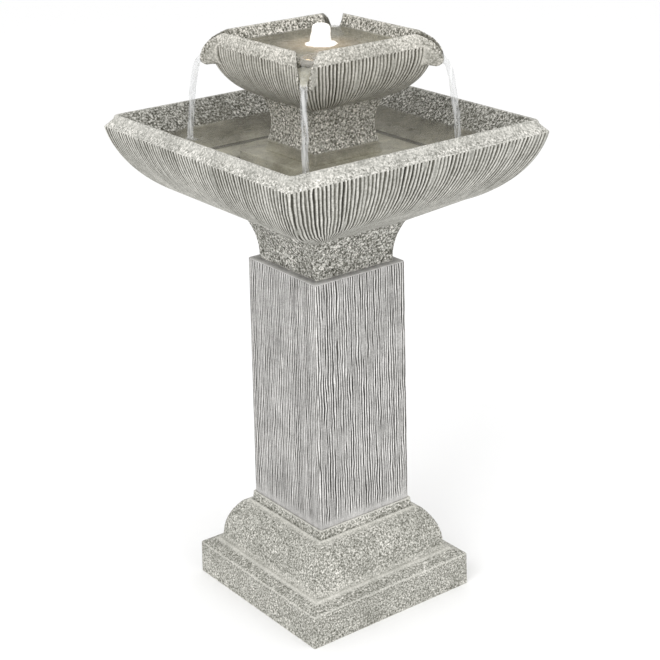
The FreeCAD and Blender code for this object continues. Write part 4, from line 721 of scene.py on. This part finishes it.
def water(name, colour, alpha, roughness=0.04, glow=0.0, landings=0.0):
    """landings is how far out the streams fall in, in metres, where the water is white with froth and rings
    of painted highlight; glow is a painted lamp glow round the middle.
    """
    material, shader, board = new_finish(name)
    at = board.node("ShaderNodeTexCoord", {}, {}, out="Object")
    flat = at.node("ShaderNodeVectorMath", {"operation": "MULTIPLY"}, {0: at, 1: (1, 1, 0)})
    swirl = board.noise(at, 45.0, 3.0, 0.6)
    froth_and_light = swirl * 0.0
    for angle in DIAGONALS if landings else ():
        centre = (landings * math.cos(angle), landings * math.sin(angle), 0.0)
        away = flat.node("ShaderNodeVectorMath", {"operation": "DISTANCE"}, {0: flat, 1: centre}, out="Value")
        # Round each landing, bright rings are painted highlights of the ripples; the white patch is froth.
        rings = away.maths("SINE", away * 900.0) * away.step(0.045, 0.006) * 0.22
        froth_and_light = froth_and_light + away.step(0.013, 0.002) * swirl * 1.1 + rings
    froth_and_light = froth_and_light.bounded()
    shader.inputs["IOR"].default_value = 1.33
    still = swirl.blend(tint(colour * 0.80, 0.09, 0.05), tint(colour, 0.07, 0.04))
    feed(board, shader, Base_Color=froth_and_light.blend(still, (0.95, 0.96, 0.95, 1)),
         Alpha=(swirl - 0.5) * 0.5 + froth_and_light * 0.6 + alpha, Roughness=swirl * 0.05 + roughness)
    if glow:
        # Painted light: the water round the nozzle glows warm, as if lit by the lamps below, though it is no
        # lamp.
        away = flat.node("ShaderNodeVectorMath", {"operation": "LENGTH"}, {0: flat}, out="Value")
        painted_lamp_glow = away.step(0.075, 0.012) * (swirl + 0.5)
        feed(board, shader, Emission_Color=painted_lamp_glow.blend((0, 0, 0, 1), (1.0, 0.72, 0.48, 1)))
        shader.inputs["Emission Strength"].default_value = glow
    return material


POOL_WATER = water("pool_water", 0.52, 0.16, landings=0.197)
UPPER_POOL_WATER = water("upper_pool_water", 0.60, 0.28, glow=0.4)

# %% The falling water's finish
STREAM_WATER, stream_shader, board = new_finish("stream_water")
at = board.node("ShaderNodeTexCoord", {}, {}, out="Object")
drawn_out = at.node("ShaderNodeVectorMath", {"operation": "MULTIPLY"}, {0: at, 1: (1, 1, 0.12)})
threads = board.noise(drawn_out, 290.0, 2.0, 0.5)
free = board.node("ShaderNodeAttribute", {"attribute_name": "free"}, {}, out="Fac")
strand = threads.step(0.38, 0.66)
feed(board, stream_shader, Base_Color=strand.blend(tint(0.80, -0.01, 0.0), tint(1.0, -0.005, 0.0)),
     Alpha=(strand * 0.34 + 0.16) * (free * 0.8 + 0.2), Roughness=strand * 0.1 + 0.06)
stream_shader.inputs["IOR"].default_value = 1.33

# %% The ripple tree
rippling, given = new_tree("rippling", {"Reach": FLOAT, "Wave Height": FLOAT, "Wave Length": FLOAT,
                                        "Chop": FLOAT, "Finish": SHADE})
board = Wire(rippling)
place = board.node("GeometryNodeInputPosition")
height = (board.noise(place, 45.0, 2.0, 0.5) - 0.5) * given["Chop"]
for angle in DIAGONALS:
    landing = board.vector(given["Reach"] * math.cos(angle), given["Reach"] * math.sin(angle), 0.0)
    flat = place.node("ShaderNodeVectorMath", {"operation": "MULTIPLY"}, {0: place, 1: (1, 1, 0)})
    away = place.node("ShaderNodeVectorMath", {"operation": "DISTANCE"}, {0: flat, 1: landing}, out="Value")
    wave = away.maths("SINE", away.maths("DIVIDE", away * (2 * math.pi), given["Wave Length"]))
    height = height + wave * away.step(0.075, 0.004) * given["Wave Height"]
top = board.node("GeometryNodeInputNamedAttribute", {"data_type": "FLOAT"}, {"Name": "groove"})
moved = board.node("GeometryNodeSetPosition", {}, {
    "Geometry": given["Geometry"], "Offset": board.vector(0.0, 0.0, height * top)})
close_tree(rippling, moved, given["Finish"])

# %% Fill the two bowls
SHEET = 2.0


def pool(name, inner, outer, level, rows, per_side, corner, round_inner=False):
    """A thin sheet of water from the neck or nozzle out to the wall; groove marks its free top."""
    first_corner = inner if round_inner else 2
    outline = Outline(inner, level - SHEET, first_corner)
    outline.go(outer - SHEET, level - SHEET, corner=corner, rows=1, every=4)
    outline.go(outer, level, rows=1)
    outline.go(inner, level, corner=first_corner, rows=rows, groove=1.0)
    outline.go(inner, level - SHEET, rows=1, every=4)
    return lay(name, outline.rows, per_side)


lower_pool = pool("lower_pool", 57, WALL + 1, LOWER_WATER, 60, 120, 4)
upper_pool = pool("upper_pool", 8, INNER_WATER + 0.5, UPPER_WATER, 40, 80, 7, round_inner=True)
run_tree(lower_pool, rippling, **{"Reach": 0.196, "Wave Height": 0.9 * MM, "Wave Length": 11 * MM,
                                  "Chop": 0.8 * MM, "Finish": POOL_WATER})
run_tree(upper_pool, rippling, **{"Reach": 0.02, "Wave Height": 0.7 * MM, "Wave Length": 14 * MM,
                                  "Chop": 0.9 * MM, "Finish": UPPER_POOL_WATER})
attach(lower_pool, "lower_bowl")
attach(upper_pool, "upper_bowl")

# %% [markdown]
# A stream runs down its bed as a flat tongue and leaves the lip as a strand, which falls like any
# thrown thing: out at a steady speed and down ever faster. It is swept along that line.

# %% The four streams
LIP = (179.0, CREST - 42)
TONGUE = [(112, UPPER_WATER + 0.4), (132, UPPER_WATER + 0.2), (146, UPPER_WATER - 1.6),
          (158, UPPER_WATER - 5), (167, UPPER_WATER - 9.5), (174, UPPER_WATER - 15), LIP]
LANDINGS = {225: 180.0, 315: 199.0, 45: 197.0, 135: 199.0}
SPOKES = 18
BED_STEPS, FALL_STEPS = 30, 46
FREE_FROM, FREE_OVER = 22, 8


def stream(name, angle, landing, seed):
    """A closed strand along the diagonal at this angle; free is 0 in the bed and 1 where it falls."""
    fall = np.linspace(0, 1, FALL_STEPS)[1:] ** 1.3
    thrown = [(LIP[0] + (landing - LIP[0]) * math.sqrt(t), LIP[1] + (LOWER_WATER - 1 - LIP[1]) * t)
              for t in fall]
    bed = along(TONGUE, np.linspace(0, 1, BED_STEPS))
    line = np.concatenate([bed, thrown])
    way = np.gradient(line, axis=0)
    way /= np.linalg.norm(way, axis=1)[:, None]
    share = np.linspace(0, 1, len(line))
    wide = np.interp(share, [0, 0.12, 0.28, 0.4, 0.6, 1], [13, 10.5, 5.6, 4.8, 4.6, 4.8])
    deep = np.interp(share, [0, 0.12, 0.3, 0.4, 0.7, 1], [0.8, 1.6, 2.6, 4.0, 4.6, 4.6])
    twist, weave = np.random.default_rng(seed).uniform(0, 2 * math.pi, 2)
    free, points = [], []
    for k, ((out, up), (run_out, run_up)) in enumerate(zip(line, way)):
        for spoke in range(SPOKES):
            turn = 2 * math.pi * spoke / SPOKES
            wave = (1 + 0.13 * math.sin(3 * turn + k * 0.31 + twist)
                    + 0.08 * math.sin(5 * turn - k * 0.5 + weave))
            aside = wide[k] * math.cos(turn) * wave
            rise = deep[k] * math.sin(turn) * wave
            points.append((out - run_up * rise, aside, up + run_out * rise))
            free.append(min(1.0, max(0.0, (k - FREE_FROM) / FREE_OVER)))
    rings = len(line)
    faces = [(k * SPOKES + s, k * SPOKES + (s + 1) % SPOKES, (k + 1) * SPOKES + (s + 1) % SPOKES,
              (k + 1) * SPOKES + s) for k in range(rings - 1) for s in range(SPOKES)]
    faces.append(tuple(range(SPOKES))[::-1])
    faces.append(tuple(range((rings - 1) * SPOKES, rings * SPOKES)))
    points = np.array(points)
    c, s = math.cos(math.radians(angle)), math.sin(math.radians(angle))
    placed = np.stack([points[:, 0] * c - points[:, 1] * s, points[:, 0] * s + points[:, 1] * c,
                       points[:, 2]], axis=1)
    mesh = bpy.data.meshes.new(name)
    mesh.from_pydata((placed * MM).tolist(), [], faces)
    mesh.polygons.foreach_set("use_smooth", [True] * len(faces))
    mesh.attributes.new("free", "FLOAT", "POINT").data.foreach_set("value", free)
    mesh.materials.append(STREAM_WATER)
    piece = bpy.data.objects.new(name, mesh)
    bpy.context.scene.collection.objects.link(piece)
    return piece


for seed, (angle, landing) in enumerate(LANDINGS.items()):
    strand = stream(f"stream_{angle}", angle, landing, seed)
    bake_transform(strand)
    print(strand.name, "lands", landing, "mm out")

# %% [markdown]
# The bubbler throws a short fat column of foaming water, lit from below. Its glow is painted light,
# a faint emission of its own. It is a turned shape with lumps.

# %% The bubbling water
FOAM, foam_shader, board = new_finish("foam")
at = board.node("ShaderNodeTexCoord", {}, {}, out="Object")
froth_and_light = board.noise(at, 160.0, 3.0, 0.6)
feed(board, foam_shader, Base_Color=froth_and_light.blend(tint(0.93, 0.02, 0.0), tint(1.0, 0.01, 0.0)),
     Emission_Color=froth_and_light.blend((1.0, 0.90, 0.80, 1), (1.0, 0.98, 0.95, 1)),
     Roughness=froth_and_light * 0.2 + 0.15)
# The emission is painted light: the foam glows as if lit by the lamps under it, though it is no lamp.
foam_shader.inputs["Emission Strength"].default_value = 0.35
FOAM_HEIGHT = 30


def bubbler():
    """A turned shape of foam that stands in the upper pool, with lumps pressed into it."""
    profile = [(2, -2), (20, -2), (24, 0.2), (19, 1.6), (15.5, 3.4), (14.6, 8), (14.2, 14), (13.4, 20),
               (12.4, 25), (10.6, 28), (7, 29.4), (3, 29.6)]
    outline = Outline(profile[0][0], UPPER_WATER + profile[0][1], profile[0][0])
    for half, rise in profile[1:]:
        outline.go(half, UPPER_WATER + rise, corner=half, rows=3)
    outline.go(0.4, UPPER_WATER + profile[-1][1], corner=0.4, rows=1)
    outline.go(0.4, UPPER_WATER - 2, corner=0.4, rows=2)
    outline.go(profile[0][0], UPPER_WATER - 2, corner=profile[0][0], rows=1)

    def lumps(points, marks):
        turn = np.arctan2(points[:, 1], points[:, 0])
        rise = (points[:, 2] - UPPER_WATER) / FOAM_HEIGHT
        swell = (1 + 0.05 * np.sin(3 * turn + 4 * rise) + 0.035 * np.sin(7 * turn - 9 * rise)
                 + 0.10 * np.cos(turn - 0.4) * (rise < 0.08))
        points[:, 0] *= swell
        points[:, 1] *= swell
        return points, marks

    return lay("bubbling_water", outline.rows, 16, lumps)


foam = bubbler()
foam.data.materials.append(FOAM)
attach(foam, "upper_bowl")

# %% [markdown]
# ## The pump, the fittings and the light
# These keep the frame's own shapes and get finishes. One recipe makes them all: a colour with a
# little mottling, a fine texture, and for the motor's stacked sheets and its winding, stripes.

# %% Finishes for the works
def works_finish(name, colour, roughness, grain, relief, metallic=0.0, bands=None, alpha=None, glow=None):
    material, shader, board = new_finish(name)
    at = board.node("ShaderNodeTexCoord", {}, {}, out="Object")
    fine = board.noise(at, 1 / (grain * MM), 3.0, 0.6)
    wide = board.noise(at, 60.0, 3.0, 0.6)
    pattern = fine * 0.6 + wide * 0.4
    if bands:
        axis, pitch = bands
        settings = {"wave_type": "BANDS", "bands_direction": axis, "wave_profile": "SIN"}
        sizes = {"Vector": at, "Scale": math.pi / 10 / (pitch * MM), "Distortion": 0.0}
        stripes = board.node("ShaderNodeTexWave", settings, sizes, out="Fac")
        pattern = stripes * 0.7 + pattern * 0.3
    shade = [c * 0.72 for c in colour]
    feed(board, shader, Base_Color=pattern.blend((*shade, 1), (*colour, 1)),
         Roughness=(pattern - 0.5) * 0.2 + roughness,
         Normal=board.node("ShaderNodeBump", {}, {"Strength": relief, "Distance": 0.0004, "Height": pattern}))
    shader.inputs["Metallic"].default_value = metallic
    if alpha:
        feed(board, shader, Alpha=(pattern - 0.5) * 0.1 + alpha)
    if glow:
        shader.inputs["Emission Color"].default_value = (*glow, 1)
        shader.inputs["Emission Strength"].default_value = 4.0
    return material


BLACK, DARK = (0.018, 0.018, 0.020), (0.035, 0.036, 0.040)
WORKS = {
    "pump_plastic": works_finish("pump_plastic", BLACK, 0.45, 0.8, 0.25),
    "pump_cover": works_finish("pump_cover", DARK, 0.42, 0.8, 0.25),
    "lamination_steel": works_finish("lamination_steel", (0.42, 0.43, 0.45), 0.35, 0.6, 0.3, 1.0, ("Y", 0.5)),
    "copper_winding": works_finish("copper_winding", (0.62, 0.24, 0.09), 0.3, 0.5, 0.6, 1.0, ("Z", 0.4)),
    "potting_resin": works_finish("potting_resin", (0.012, 0.012, 0.014), 0.18, 3.0, 0.2),
    "black_rubber": works_finish("black_rubber", (0.016, 0.016, 0.016), 0.75, 0.5, 0.35),
    "shaft_ceramic": works_finish("shaft_ceramic", (0.82, 0.80, 0.76), 0.15, 1.0, 0.05),
    "ferrite": works_finish("ferrite", (0.045, 0.045, 0.05), 0.4, 0.4, 0.4),
    "impeller_plastic": works_finish("impeller_plastic", (0.50, 0.52, 0.55), 0.4, 1.0, 0.15),
    "filter_foam": works_finish("filter_foam", (0.03, 0.045, 0.08), 0.95, 1.4, 1.0),
    "clear_hose": works_finish("clear_hose", (0.70, 0.76, 0.76), 0.12, 3.0, 0.1, alpha=0.45),
    "white_plastic": works_finish("white_plastic", (0.74, 0.73, 0.70), 0.4, 1.0, 0.15),
    "clear_lens": works_finish("clear_lens", (0.86, 0.88, 0.86), 0.06, 2.0, 0.15, alpha=0.35),
    "lamp": works_finish("lamp", (0.95, 0.80, 0.55), 0.3, 1.0, 0.1, glow=(1.0, 0.72, 0.42)),
}
for part in frame["record"]["subparts"]:
    finish = WORKS.get(part["material_slot"])
    if finish:
        for place in frame["nodes"][part["node"]].material_slots:
            place.material = finish
print(len(WORKS), "finishes on the works")

# %% [markdown]
# ## Studio and camera
# A pale floor, a white room and two large soft lamps. The camera looks slightly down on one
# corner, with a long lens.

# %% Floor, light and camera
scene = bpy.context.scene
scene.view_settings.view_transform = "Standard"
world = bpy.data.worlds.new("studio")
scene.world = world
world.use_nodes = True
white_room = world.node_tree.nodes["Background"]
white_room.inputs["Color"].default_value = (1, 1, 1, 1)
white_room.inputs["Strength"].default_value = 1.0

floor_mesh = bpy.data.meshes.new("floor")
floor_mesh.from_pydata([(-8, -8, 0), (8, -8, 0), (8, 8, 0), (-8, 8, 0)], [], [(0, 1, 2, 3)])
floor = bpy.data.objects.new("floor", floor_mesh)
scene.collection.objects.link(floor)
pale, shader, _ = new_finish("pale_floor")
shader.inputs["Base Color"].default_value = (0.98, 0.98, 0.98, 1)
shader.inputs["Roughness"].default_value = 0.9
floor_mesh.materials.append(pale)


def lamp(name, place, size, watts):
    data = bpy.data.lights.new(name, "AREA")
    data.size, data.energy = size, watts
    made = bpy.data.objects.new(name, data)
    scene.collection.objects.link(made)
    made.location = place
    aim = bpy.data.objects["floor"].location - made.location
    aim.z += 0.6
    made.rotation_euler = aim.to_track_quat("-Z", "Y").to_euler()


lamp("key", (-2.6, -1.2, 2.6), 1.6, 34)
lamp("fill", (0.6, -3.2, 1.8), 2.4, 18)

VIEW_AZIMUTH, VIEW_PITCH, VIEW_ROLL = math.radians(37), math.radians(21.68), math.radians(-1.34)
VIEW_RUN, VIEW_RISE = 2.336, 1.362
eye = bpy.data.cameras.new("eye")
eye.lens, eye.sensor_width, eye.shift_x = 89.2, 36, 0.0036
camera = bpy.data.objects.new("eye", eye)
scene.collection.objects.link(camera)
camera.location = (-math.sin(VIEW_AZIMUTH) * VIEW_RUN, -math.cos(VIEW_AZIMUTH) * VIEW_RUN, VIEW_RISE)
looking = Euler((math.pi / 2 - VIEW_PITCH, 0, -VIEW_AZIMUTH)).to_matrix()
camera.rotation_euler = (looking @ Matrix.Rotation(VIEW_ROLL, 3, "Z")).to_euler()
scene.camera = camera
print("camera at", [round(v, 3) for v in camera.location])
